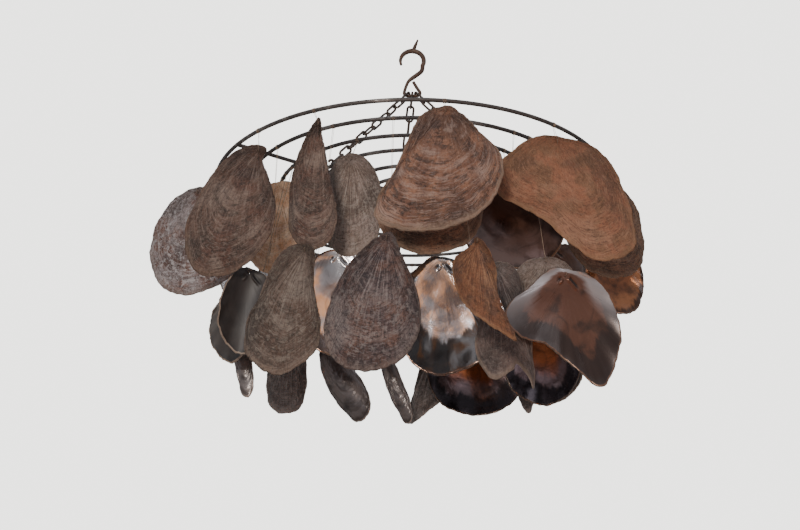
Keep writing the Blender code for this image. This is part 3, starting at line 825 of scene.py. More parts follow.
class Outline(Enum):
    """Margins as (across, up) from the middle of the shell's top, over its width and height.

    Each is seen from the shell's outside. It starts at the apex and runs round by the left, and a closed
    curve joins its points.
    """

    ROUND = (
        (0, 0), (-0.34, -0.13), (-0.50, -0.48), (-0.36, -0.86),
        (0, -1), (0.38, -0.85), (0.50, -0.47), (0.33, -0.12),
    )  # fmt: skip
    BEAK = (
        (0.26, 0), (0.02, -0.04), (-0.20, -0.22), (-0.40, -0.46), (-0.50, -0.70), (-0.38, -0.94),
        (-0.08, -1.0), (0.26, -0.90), (0.48, -0.66), (0.46, -0.42), (0.30, -0.18), (0.34, -0.05),
    )  # fmt: skip
    DROP = (
        (0.14, 0), (-0.04, -0.10), (-0.28, -0.28), (-0.44, -0.50), (-0.50, -0.72), (-0.36, -0.93),
        (0.0, -1.0), (0.34, -0.89), (0.50, -0.66), (0.44, -0.40), (0.30, -0.19), (0.22, -0.03),
    )  # fmt: skip
    FLASK = (
        (0.28, 0), (0.04, -0.04), (-0.14, -0.20), (-0.28, -0.42), (-0.48, -0.62), (-0.44, -0.84),
        (0.0, -1.0), (0.40, -0.86), (0.50, -0.66), (0.41, -0.44), (0.40, -0.22), (0.38, -0.04),
    )  # fmt: skip
    SPEAR = (
        (0.10, 0), (-0.12, -0.14), (-0.34, -0.36), (-0.50, -0.64), (-0.40, -0.88), (0.0, -1.0),
        (0.38, -0.94), (0.50, -0.78), (0.42, -0.60), (0.22, -0.42), (0.13, -0.25), (0.16, -0.08),
    )  # fmt: skip
    CONE = (
        (0.05, 0), (-0.13, -0.08), (-0.23, -0.27), (-0.34, -0.54), (-0.50, -0.84), (-0.34, -0.97),
        (-0.04, -1.0), (0.28, -0.89), (0.46, -0.68), (0.49, -0.44), (0.31, -0.22), (0.15, -0.05),
    )  # fmt: skip
    FAN = (
        (0.0, 0), (-0.16, -0.05), (-0.25, -0.28), (-0.37, -0.55), (-0.50, -0.79), (-0.26, -0.94),
        (0.08, -1.0), (0.38, -0.84), (0.50, -0.52), (0.38, -0.20), (0.15, -0.02),
    )  # fmt: skip
    CAPE = (
        (-0.06, 0), (-0.24, -0.03), (-0.38, -0.14), (-0.49, -0.27), (-0.50, -0.49), (-0.22, -0.68),
        (0.02, -0.90), (0.22, -1.0), (0.46, -0.88), (0.49, -0.64), (0.42, -0.34), (0.26, -0.07),
    )  # fmt: skip
    SAIL = (
        (-0.04, 0), (-0.30, -0.08), (-0.44, -0.30), (-0.47, -0.62), (-0.30, -1.0), (-0.08, -0.84),
        (0.13, -0.66), (0.36, -0.61), (0.50, -0.46), (0.44, -0.32), (0.28, -0.19), (0.12, -0.03),
    )  # fmt: skip
    LEAF = (
        (0.0, 0), (-0.14, -0.12), (-0.46, -0.20), (-0.50, -0.38), (-0.38, -0.62), (-0.02, -0.82),
        (0.34, -0.95), (0.50, -1.0), (0.38, -0.80), (0.27, -0.55), (0.28, -0.28), (0.14, -0.07),
    )  # fmt: skip
    OVAL = (
        (0, 0), (-0.30, -0.10), (-0.48, -0.42), (-0.40, -0.80),
        (0, -1), (0.42, -0.78), (0.50, -0.40), (0.28, -0.08),
    )  # fmt: skip
    STRIP = (
        (0.0, 0), (-0.24, -0.08), (-0.42, -0.28), (-0.50, -0.52), (-0.42, -0.76), (-0.24, -0.94),
        (0.06, -1.0), (0.40, -0.92), (0.50, -0.68), (0.44, -0.44), (0.36, -0.20), (0.20, -0.04),
    )  # fmt: skip
    FIN = (
        (0.10, 0), (-0.14, -0.12), (-0.24, -0.38), (-0.36, -0.70), (-0.50, -1.0), (-0.20, -0.98),
        (0.14, -0.84), (0.44, -0.66), (0.50, -0.50), (0.46, -0.30), (0.40, -0.13), (0.26, -0.03),
    )  # fmt: skip
    LOBED = (
        (0.05, 0), (-0.22, -0.16), (-0.38, -0.45), (-0.50, -0.70), (-0.30, -0.92), (-0.02, -0.88),
        (0.12, -0.82), (0.34, -0.92), (0.50, -1.0), (0.47, -0.72), (0.46, -0.38), (0.38, -0.08),
    )  # fmt: skip


def ripple_of(seed: int, turns: np.ndarray, orders: Sequence[int]) -> np.ndarray:
    """A closed wavy line of about unit height.

    Args:
        seed: Seed of its phases and weights.
        turns: Places round it, from 0 to 1.
        orders: Waves in one turn, for each layer.

    Returns:
        The height at each place.
    """
    rng = np.random.default_rng(seed)
    total = np.zeros_like(turns)
    for order in orders:
        weight = rng.uniform(0.5, 1.0)
        total += weight * np.sin(2 * np.pi * (order * turns + rng.uniform())) / len(orders) ** 0.5
    return total


@dataclass
class Shell:
    """One shell: where it hangs, its outline, the way it faces, how it is bent, and its finishes.

    Attributes:
        name: Its CAD node.
        at: Its hanging hole: angle in degrees, radius, and drop below the rings.
        size: Its width and height.
        outline: Its margin.
        facing: Degrees from +X that its outside faces.
        bend: Depth of its cup and of its saddle.
        curl: Degrees of twist from top to foot, and of folding across.
        roll: Degrees that it hangs askew.
        coat: Finish of its outside.
        pearl: Finish of its inside.
    """

    name: str
    at: Place
    size: tuple[float, float]
    outline: Outline
    facing: float
    bend: tuple[float, float] = (0.014, 0.0)
    curl: tuple[float, float] = (0.0, 0.0)
    roll: float = 0.0
    coat: Coat | Pearl = UMBER
    pearl: Pearl = SILVER

    UMBO_DEPTH = 0.06
    HOLE_R = 0.9 * MM
    UMBO_T = 2.8 * MM
    MARGIN_T = 0.9 * MM
    THINNING = 1.4
    RIM_BULGE = 0.35 * MM
    MARGIN_STEP = 3.6 * MM
    LINE_STEP = 2.4 * MM
    FRILL = 0.9 * MM
    FRILL_WAVES = (7, 13, 22, 37)
    RUFFLE = 1.5 * MM
    RUFFLE_WAVES = (4, 7, 11)
    HINGE_ANGLES = (-42.0, 36.0)
    HINGE_LENGTHS = (26 * MM, 15 * MM)
    TOOTH_H = 1.5 * MM
    TOOTH_W = 1.6 * MM
    GROOVE_DEPTH = 0.9 * MM
    GROOVE_W = 2.0 * MM
    GROOVE_AT = 3.6 * MM  # from the tooth's crest to the groove's middle

    @property
    def seed(self) -> int:
        """A number of its own for anything random, from its place in the name list."""
        tier, number = self.name.split("_shell_")
        return int(number) + (100 if tier == "lower" else 0)

    def umbo(self) -> np.ndarray:
        """The hanging hole's place on the flat shell."""
        return np.array([self.outline.value[0][0] * self.size[0], -self.UMBO_DEPTH * self.size[1]])

    def margin(self) -> np.ndarray:
        """The flat margin's (x, z) points, at equal steps along it."""
        corners = np.array(self.outline.value, float) * self.size
        u = np.linspace(0, 1, 24, endpoint=False)[:, None]
        runs = []
        for first in range(len(corners)):
            runs.append(eased(*(corners[(first + step) % len(corners)] for step in (-1, 0, 1, 2)), u))
        closed = np.concatenate(runs + [runs[0][:1]])
        length = np.concatenate([[0], np.cumsum(np.linalg.norm(np.diff(closed, axis=0), axis=1))])
        stations = np.linspace(0, length[-1], round(length[-1] / self.MARGIN_STEP), endpoint=False)
        return np.stack([np.interp(stations, length, closed[:, axis]) for axis in (0, 1)], axis=1)

    def curved(self, flat: np.ndarray) -> np.ndarray:
        """Flat points after the shell's cupping, folding and twisting.

        Args:
            flat: Points with (x, z) in the last axis.

        Returns:
            Points with (x, y, z) in the last axis, -Y being the outside.
        """
        width, height = self.size
        x, z = flat[..., 0], flat[..., 1]
        across, up = 2 * x / width, 1 + 2 * z / height
        cup, saddle = self.bend
        y = cup * (across**2 + up**2) / 2 + saddle * (across**2 - up**2) / 2
        twist, fold = np.radians(self.curl)
        if fold:
            x = width / 2 * np.sin(fold * across) / fold
            y = y + width / 2 * (1 - np.cos(fold * across)) / fold
        swing = twist * up / 2
        x, y = x * np.cos(swing) - y * np.sin(swing), x * np.sin(swing) + y * np.cos(swing)
        return np.stack([x, y, z], axis=-1)

    def hole(self) -> Vector:
        """The middle of the hanging hole."""
        angle, radius, drop = self.at
        return around(radius, angle, FRAME_Z - drop)

    def outside(self) -> Vector:
        """Unit direction that the shell's outside faces."""
        return around(1.0, self.facing, 0.0)

    def placing(self) -> Matrix:
        """The matrix that hangs the bent shell by its umbo."""
        turned = Matrix.Rotation(math.radians(self.facing) + math.pi / 2, 4, "Z")
        turned @= Matrix.Rotation(math.radians(self.roll), 4, "Y")
        umbo = Vector(self.curved(self.umbo()))
        return Matrix.Translation(self.hole()) @ turned @ Matrix.Translation(-umbo)

    @staticmethod
    def facing_out(middle: np.ndarray) -> np.ndarray:
        """Unit normals of the middle surface, towards the outside of the shell."""
        down = np.gradient(middle, axis=0)
        along = np.roll(middle, -1, axis=1) - np.roll(middle, 1, axis=1)
        normal = np.cross(down, along)
        return normal / np.linalg.norm(normal, axis=-1, keepdims=True)

    def hinge(self, flat: np.ndarray) -> tuple[np.ndarray, np.ndarray]:
        """The two hinge teeth that part downwards from the umbo on the nacre.

        Args:
            flat: Points of the flat shell.

        Returns:
            Height of the teeth and grooves, and the painted shade that darkens the grooves, from 0 to 1.
        """
        offset = flat - self.umbo()
        height = np.zeros(flat.shape[:-1])
        dark = np.zeros(flat.shape[:-1])
        for angle, length in zip(self.HINGE_ANGLES, self.HINGE_LENGTHS):
            turn = math.radians(angle)
            along = offset[..., 0] * math.sin(turn) - offset[..., 1] * math.cos(turn)
            beside = offset[..., 0] * math.cos(turn) + offset[..., 1] * math.sin(turn)
            beside *= math.copysign(1, angle)
            run = np.clip((along - 4 * MM) / (3 * MM), 0, 1) * np.clip((length - along) / (7 * MM), 0, 1)
            height += self.TOOTH_H * run * np.exp(-((beside / self.TOOTH_W) ** 2))
            groove_shade = run * np.exp(-(((beside - self.GROOVE_AT) / self.GROOVE_W) ** 2))
            height -= self.GROOVE_DEPTH * groove_shade
            # The groove's weight also sets the painted shade laid on the nacre.
            dark = np.maximum(dark, groove_shade)
        return height, dark

    def scar(self, flat: np.ndarray) -> np.ndarray:
        """The oval outline of the muscle scar on the nacre, from 0 to 1."""
        centre = np.array([0.02 * self.size[0], -0.52 * self.size[1]])
        reach = np.hypot(*((flat - centre) / (np.array([0.075, 0.11]) * self.size[1])).transpose(2, 0, 1))
        return np.exp(-(((reach - 1) / 0.12) ** 2)) * 0.4 + (reach < 1) * 0.12

    def ruffled(self, flat: np.ndarray, turns: np.ndarray, size: np.ndarray) -> np.ndarray:
        """The bent middle surface with its swells, and the ruffles that rise towards its margin.

        Args:
            flat: Points of the flat shell.
            turns: Places round the margin, from 0 to 1.
            size: Growth of each line, from 0 to 1.

        Returns:
            The surface's points.
        """
        middle = self.curved(flat)
        tilt = np.random.default_rng(self.seed + 500).uniform(0, 2 * np.pi, 3)
        swell = sum(
            np.sin((flat[..., 0] * np.cos(a) + flat[..., 1] * np.sin(a)) / (14 * MM + 9 * MM * k) + a * 5)
            for k, a in enumerate(tilt)
        )
        ripple = ripple_of(self.seed + 50, turns, self.RUFFLE_WAVES)
        wave = swell / 3 * size[:, None] + ripple * size[:, None] ** 5
        return middle + self.facing_out(middle) * (self.RUFFLE * wave)[..., None]

    def seed_mesh(self) -> bpy.types.Object:
        """The closed, smooth shell before its growth relief, with its coordinates as attributes."""
        edge = self.margin()
        turns = np.arange(len(edge)) / len(edge)
        reach = edge - self.umbo()
        span = np.linalg.norm(reach, axis=1, keepdims=True)
        reach = reach * (1 + self.FRILL * ripple_of(self.seed, turns, self.FRILL_WAVES)[:, None] / span)
        unit = reach / np.linalg.norm(reach, axis=1, keepdims=True)
        rows = round(span.max() / self.LINE_STEP)
        size = np.linspace(0, 1, rows + 1)
        grown = size[:, None, None]
        flat = self.umbo() + unit * self.HOLE_R + grown * (reach - unit * self.HOLE_R)
        middle = self.ruffled(flat, turns, size)
        normal = self.facing_out(middle)
        half = (self.UMBO_T + (self.MARGIN_T - self.UMBO_T) * grown**self.THINNING) / 2
        teeth, groove_shade = self.hinge(flat)
        inner = middle - normal * (half + teeth[..., None])
        outward = middle[-1] - middle[-2]
        rim = middle[-1] + self.RIM_BULGE * outward / np.linalg.norm(outward, axis=1, keepdims=True)
        layers = np.concatenate([middle + normal * half, rim[None], inner[::-1]])
        place = np.array(self.placing())
        points = layers.reshape(-1, 3) @ place[:3, :3].T + place[:3, 3]

        count, sides = layers.shape[:2]
        row, side = np.meshgrid(np.arange(count), np.arange(sides), indexing="ij")
        below, beside = (row + 1) % count, (side + 1) % sides
        corners = [row * sides + side, below * sides + side, below * sides + beside, row * sides + beside]
        mesh = bpy.data.meshes.new(self.name)
        mesh.from_pydata(points, [], np.stack(corners, -1).reshape(-1, 4))

        heading = np.broadcast_to(unit, flat.shape)
        level = np.broadcast_to(size[:, None], flat.shape[:2])
        scar = self.scar(flat)
        # X of scar_and_groove_shade is the grooves' painted shade, and Y the muscle scar.
        vectors = {
            "growth": (heading[..., 0] + 3.7 * self.seed, heading[..., 1], level),
            "flat": (flat, np.full(level.shape, 0.37 * self.seed)),
            "scar_and_groove_shade": (groove_shade, scar, scar * 0),
        }
        for name, parts in vectors.items():
            values = np.dstack(parts)
            both = np.concatenate([values, values[-1:], values[::-1]])
            mesh.attributes.new(name, "FLOAT_VECTOR", "POINT").data.foreach_set("vector", both.ravel())
        raised = np.clip(level * 12, 0, 1)
        weight = np.concatenate([raised, raised[-1:] * 0, raised * 0])
        mesh.attributes.new("relief", "FLOAT", "POINT").data.foreach_set("value", weight.ravel())
        nacre = (row > rows + 1) & (row < count - 1)
        mesh.attributes.new("nacre_side", "BOOLEAN", "FACE").data.foreach_set("value", nacre.ravel())
        return new_object(self.name, mesh)

    def build(self, shop: "Workshop") -> None:
        """Grows the shell's relief and gives it its two finishes."""
        finishes = {"finish": shop.looks[self.coat.name], "nacre": shop.looks[self.pearl.name]}
        keep(shop.relief.grow(self.seed_mesh(), f"{self.name}_grown", **finishes), "shell", self.name)


UPPER_SHELLS = (
    Shell(
        "upper_shell_01", (193.5, 0.345, 0.031), (0.158, 0.178), Outline.ROUND, 255, (0.012, 0.010), coat=ASH
    ),
    Shell(
        "upper_shell_02", (226.4, 0.318, 0.034), (0.130, 0.198), Outline.BEAK, 262, (0.016, -0.006), (8, 0)
    ),
    Shell("upper_shell_03", (199.5, 0.222, 0.016), (0.114, 0.156), Outline.OVAL, 255, coat=DUN_PAINTED_LAMPLIGHT),
    Shell("upper_shell_04", (245, 0.308, 0.018), (0.068, 0.198), Outline.SPEAR, 262, (0.010, 0.0), (24, 14)),
    Shell(
        "upper_shell_05", (248.4, 0.235, 0.040), (0.088, 0.158), Outline.ROUND, 262, (0.012, 0.006), (10, 16),
        coat=GULL,
    ),
    Shell(
        "upper_shell_06", (277.9, 0.325, 0.021), (0.170, 0.181), Outline.CONE, 268, (0.024, -0.008), (-6, 14),
        coat=TAN,
    ),
    Shell("upper_shell_07", (275, 0.268, 0.080), (0.145, 0.132), Outline.ROUND, 268, coat=BARK),
    Shell(
        "upper_shell_08", (308.9, 0.325, 0.032), (0.196, 0.184), Outline.CAPE, 280, (0.020, 0.010), (6, 0),
        coat=AMBER,
    ),
    Shell(
        "upper_shell_09", (338, 0.318, 0.036), (0.138, 0.158), Outline.ROUND, 290, (0.014, 0.012), coat=BARK
    ),
    Shell(
        "upper_shell_10", (352, 0.322, 0.095), (0.105, 0.130), Outline.ROUND, 110, (0.014, -0.008),
        pearl=COPPER_PAINTED_REFLECTION,
    ),
    Shell(
        "upper_shell_11", (303, 0.260, 0.076), (0.150, 0.140), Outline.ROUND, 95, (0.018, 0.0), pearl=TOBACCO
    ),
    Shell(
        "upper_shell_12", (9, 0.318, 0.020), (0.130, 0.140), Outline.ROUND, 9, (0.014, 0.008), coat=TAN,
        pearl=TOBACCO,
    ),
    Shell(
        "upper_shell_13", (36, 0.318, 0.024), (0.140, 0.165), Outline.BEAK, 36, (0.016, -0.006), (8, 10),
        pearl=TOBACCO,
    ),
    Shell(
        "upper_shell_14", (63, 0.318, 0.020), (0.135, 0.160), Outline.FAN, 63, (0.018, 0.006), coat=AMBER,
        pearl=TOBACCO,
    ),
    Shell(
        "upper_shell_15", (90, 0.318, 0.026), (0.140, 0.150), Outline.DROP, 90, (0.016, 0.0), (-10, 0),
        coat=DRIFT,
    ),
    Shell("upper_shell_16", (117, 0.318, 0.022), (0.135, 0.165), Outline.CAPE, 117, (0.018, 0.008), coat=TAN),
    Shell("upper_shell_17", (144, 0.318, 0.028), (0.140, 0.155), Outline.BEAK, 144, (0.014, -0.008), (12, 0)),
    Shell(
        "upper_shell_18", (169, 0.318, 0.022), (0.120, 0.130), Outline.ROUND, 169, (0.014, 0.006), coat=ASH
    ),
)

LOWER_SHELLS = (
    Shell(
        "lower_shell_01", (211.8, 0.294, 0.222), (0.082, 0.108), Outline.OVAL, 60, (0.010, 0.0), (16, 20),
        coat=SLATE, pearl=UMBRA,
    ),
    Shell(
        "lower_shell_02", (222.1, 0.3058, 0.209), (0.078, 0.124), Outline.OVAL, 96, (0.010, 0.0), (30, 50),
        coat=SLATE, pearl=UMBRA,
    ),
    Shell(
        "lower_shell_03", (204.9, 0.2855, 0.2233), (0.026, 0.155), Outline.STRIP, 262, (0.006, 0.0), (40, 0),
        roll=-10, coat=SLIVER,
    ),
    Shell(
        "lower_shell_04", (245.4, 0.333, 0.215), (0.100, 0.174), Outline.FLASK, 262, (0.018, 0.0), (6, 14),
        coat=DRIFT,
    ),
    Shell(
        "lower_shell_05", (264.4, 0.331, 0.209), (0.120, 0.182), Outline.DROP, 267, (0.022, -0.006), (-4, 16),
        coat=MOTH,
    ),
    Shell("lower_shell_06", (142, 0.165, 0.065), (0.130, 0.190), Outline.ROUND, 95, (0.016, 0.006)),
    Shell("lower_shell_07", (62, 0.110, 0.082), (0.160, 0.208), Outline.FAN, 88, (0.024, 0.0), pearl=STORM),
    Shell(
        "lower_shell_08", (283.8, 0.345, 0.216), (0.066, 0.138), Outline.LEAF, 268, (0.012, 0.0), (24, 20),
        roll=-4, coat=CEDAR,
    ),
    Shell(
        "lower_shell_09", (294.1, 0.279, 0.2216), (0.080, 0.172), Outline.LOBED, 275, (0.012, 0.0), (-30, 30),
        roll=-8, coat=SLATE,
    ),
    Shell("lower_shell_10", (309, 0.2908, 0.200), (0.105, 0.115), Outline.OVAL, 275, coat=GULL),
    Shell(
        "lower_shell_11", (309.1, 0.325, 0.2304), (0.160, 0.160), Outline.SAIL, 100, (0.022, 0.006), (6, 0),
        pearl=BRONZE,
    ),
    Shell("lower_shell_12", (352, 0.200, 0.215), (0.120, 0.150), Outline.ROUND, 90, (0.020, 0.0), pearl=INK_PAINTED_REFLECTION),
    Shell("lower_shell_13", (64.8, 0.270, 0.162), (0.174, 0.162), Outline.ROUND, 90, (0.026, 0.0), pearl=INK_PAINTED_REFLECTION),
    Shell(
        "lower_shell_14", (42, 0.250, 0.215), (0.030, 0.120), Outline.OVAL, 262, (0.006, 0.0), (30, 0),
        roll=-6, coat=CHAR,
    ),
    Shell(
        "lower_shell_15", (33, 0.290, 0.168), (0.120, 0.150), Outline.ROUND, 60, (0.016, 0.008), pearl=UMBRA
    ),
    Shell(
        "lower_shell_16", (138, 0.285, 0.184), (0.074, 0.146), Outline.STRIP, 262, (0.012, 0.0), (-14, 20),
        roll=6, coat=CHAR,
    ),
    Shell(
        "lower_shell_17", (122.5, 0.290, 0.186), (0.062, 0.165), Outline.STRIP, 262, (0.012, 0.0), (70, 20),
        roll=-24, coat=SLIVER,
    ),
    Shell(
        "lower_shell_18", (101, 0.280, 0.186), (0.032, 0.155), Outline.STRIP, 262, (0.008, 0.0), (60, 0),
        roll=-18, coat=SLIVER,
    ),
    Shell(
        "lower_shell_19", (81.2, 0.287, 0.178), (0.080, 0.148), Outline.FIN, 262, (0.012, 0.0), (30, 20),
        roll=6, coat=CHAR,
    ),
)


class Workshop:
    """The finishes and the geometry trees that the pieces share."""

    def __init__(self) -> None:
        """Builds each finish once, then every tree."""
        finishes = [
            *dict.fromkeys(shell.coat for shell in UPPER_SHELLS + LOWER_SHELLS),
            *dict.fromkeys(shell.pearl for shell in UPPER_SHELLS + LOWER_SHELLS),
            Iron("blackened_bar", "#474342", "#847f7c", "#554944", 0.60, 0.12, 26 * MM, 0.60, 0.32),
            Iron("weld_metal", "#7d7977", "#b3afac", "#5a4c45", 0.6, 0.3, 5 * MM, 0.6, 0.35),
            Iron("drawn_chain_iron", "#443b36", "#7a6f68", "#5a4132", 0.35, 0.45, 8 * MM, 0.4, 0.48),
            Iron("forged_hook_iron", "#4a3a31", "#7a6b60", "#6e4630", 0.40, 0.65, 7 * MM, 0.3, 0.5),
            Iron("annealed_tie_wire", "#8a7868", "#b8a592", "#7c604c", 0.4, 0.30, 6 * MM, 0.3, 0.42),
            Moulded(),
            LitGlass(),
        ]
        self.looks = {finish.name: finish.material() for finish in finishes}
        self.bars, self.beads, self.links = bar_tree(), bead_tree(), link_tree()
        self.coils, self.relief = coil_tree(), relief_tree()


@dataclass
class ShellCurtain:
    """Both tiers of shells and the wire that ties each to the frame."""

    shells: tuple[Shell, ...] = UPPER_SHELLS + LOWER_SHELLS
    wire_r: float = 0.25 * MM
    strand_gap: float = 1.1 * MM
    loop_h: float = 5 * MM
    loop_out: tuple[float, float] = (2.4 * MM, 3.2 * MM)
    tier_drop: float = 0.12
    step_in: float = 0.06

    def tie_ring(self, shell: Shell) -> float:
        """Radius of the ring that carries a shell: its own, or a ring inside the tier above it."""
        wanted = shell.at[1] - (self.step_in if shell.at[2] > self.tier_drop else 0.0)
        return min((ring_radius(index) for index in range(len(RING_RATIOS))), key=lambda r: abs(r - wanted))

    def strand(self, shell: Shell, anchor: Vector, tangent: Vector) -> list[Vector]:
        """The wire's course from the ring, through the shell's hole and back.

        Args:
            shell: The shell that it carries.
            anchor: The ring's centre line above the shell.
            tangent: The ring's direction there.

        Returns:
            The course.
        """
        angle, radius, drop = shell.at
        hole, out = shell.hole(), shell.outside()
        side, loop = tangent * self.strand_gap, Vector((0, 0, self.loop_h))
        top = anchor - Vector((0, 0, ROD_R + self.wire_r))
        near, far = self.loop_out
        behind = []
        if drop > self.tier_drop:
            behind = [around(radius - self.step_in / 2, angle, FRAME_Z - drop + 16 * MM)]
        front = [hole + out * far + loop, hole + out * near, hole]
        back = [hole - out * near, hole - out * far + loop]
        return smoothed([top + side, *behind, *front, *back, *behind, top - side], 5)

    def build(self, shop: Workshop) -> None:
        """Builds every shell, then the coils and strands of tie wire."""
        for shell in self.shells:
            shell.build(shop)
        anchors = [around(self.tie_ring(shell), shell.at[0], FRAME_Z) for shell in self.shells]
        tangents = [around(1.0, shell.at[0] + 90, 0.0) for shell in self.shells]
        strands = [self.strand(*tied) for tied in zip(self.shells, anchors, tangents)]
        wire = shop.looks["annealed_tie_wire"]
        points = point_mesh("coil_points", anchors, along=tangents)
        sizes = {"coil_radius": ROD_R + self.wire_r, "wire_radius": self.wire_r}
        keep(shop.coils.grow(points, "tie_wire_coils", finish=wire, **sizes), "chain_iron")
        courses = course_mesh("strand_courses", strands, [self.wire_r] * len(strands))
        keep(shop.bars.grow(courses, "tie_wire_strands", sides=6, unevenness=0.0, finish=wire), "chain_iron")


# ---------------------------------------------------------------- ironwork


@dataclass
class RingFrame:
    """The flat frame: six rings of round bar on three spokes, with beads of weld where they cross."""

    spoke_inner_r: float = 0.030
    bar_step: float = 5 * MM
    unevenness: float = 0.05 * MM
    grain: float = 0.03
    butts: tuple[tuple[int, float], ...] = ((0, 128.0), (0, 62.0), (1, 118.0), (2, 70.0))

    def build(self, shop: Workshop) -> None:
        """Lays the bars and the weld beads."""
        rings = []
        for index in range(len(RING_RATIOS)):
            radius = ring_radius(index)
            steps = round(2 * math.pi * radius / self.bar_step)
            rings.append([around(radius, 360 * step / steps, FRAME_Z) for step in range(steps)])
        spokes = [
            np.linspace(around(self.spoke_inner_r, angle, FRAME_Z), around(FRAME_R, angle, FRAME_Z), 60)
            for angle in SPOKE_ANGLES
        ]
        bar = {"finish": shop.looks["blackened_bar"], "unevenness": self.unevenness, "grain": self.grain}
        seed = course_mesh("ring_courses", rings, [ROD_R] * len(rings), closed=True)
        keep(shop.bars.grow(seed, "ring_frame_hoops", **bar), "frame_iron", "ring_frame")
        seed = course_mesh("spoke_courses", spokes, [ROD_R] * len(spokes))
        keep(shop.bars.grow(seed, "ring_frame_spokes", **bar), "frame_iron")
        crossings = [(index, angle) for angle in SPOKE_ANGLES for index in range(len(RING_RATIOS))]
        joins = [*crossings, *self.butts]
        places = [around(ring_radius(index), angle, FRAME_Z) for index, angle in joins]
        seed = point_mesh("bead_points", places, along=[around(1.0, angle + 90, 0.0) for _, angle in joins])
        keep(shop.beads.grow(seed, "ring_frame_weld_beads", finish=shop.looks["weld_metal"]), "frame_iron")


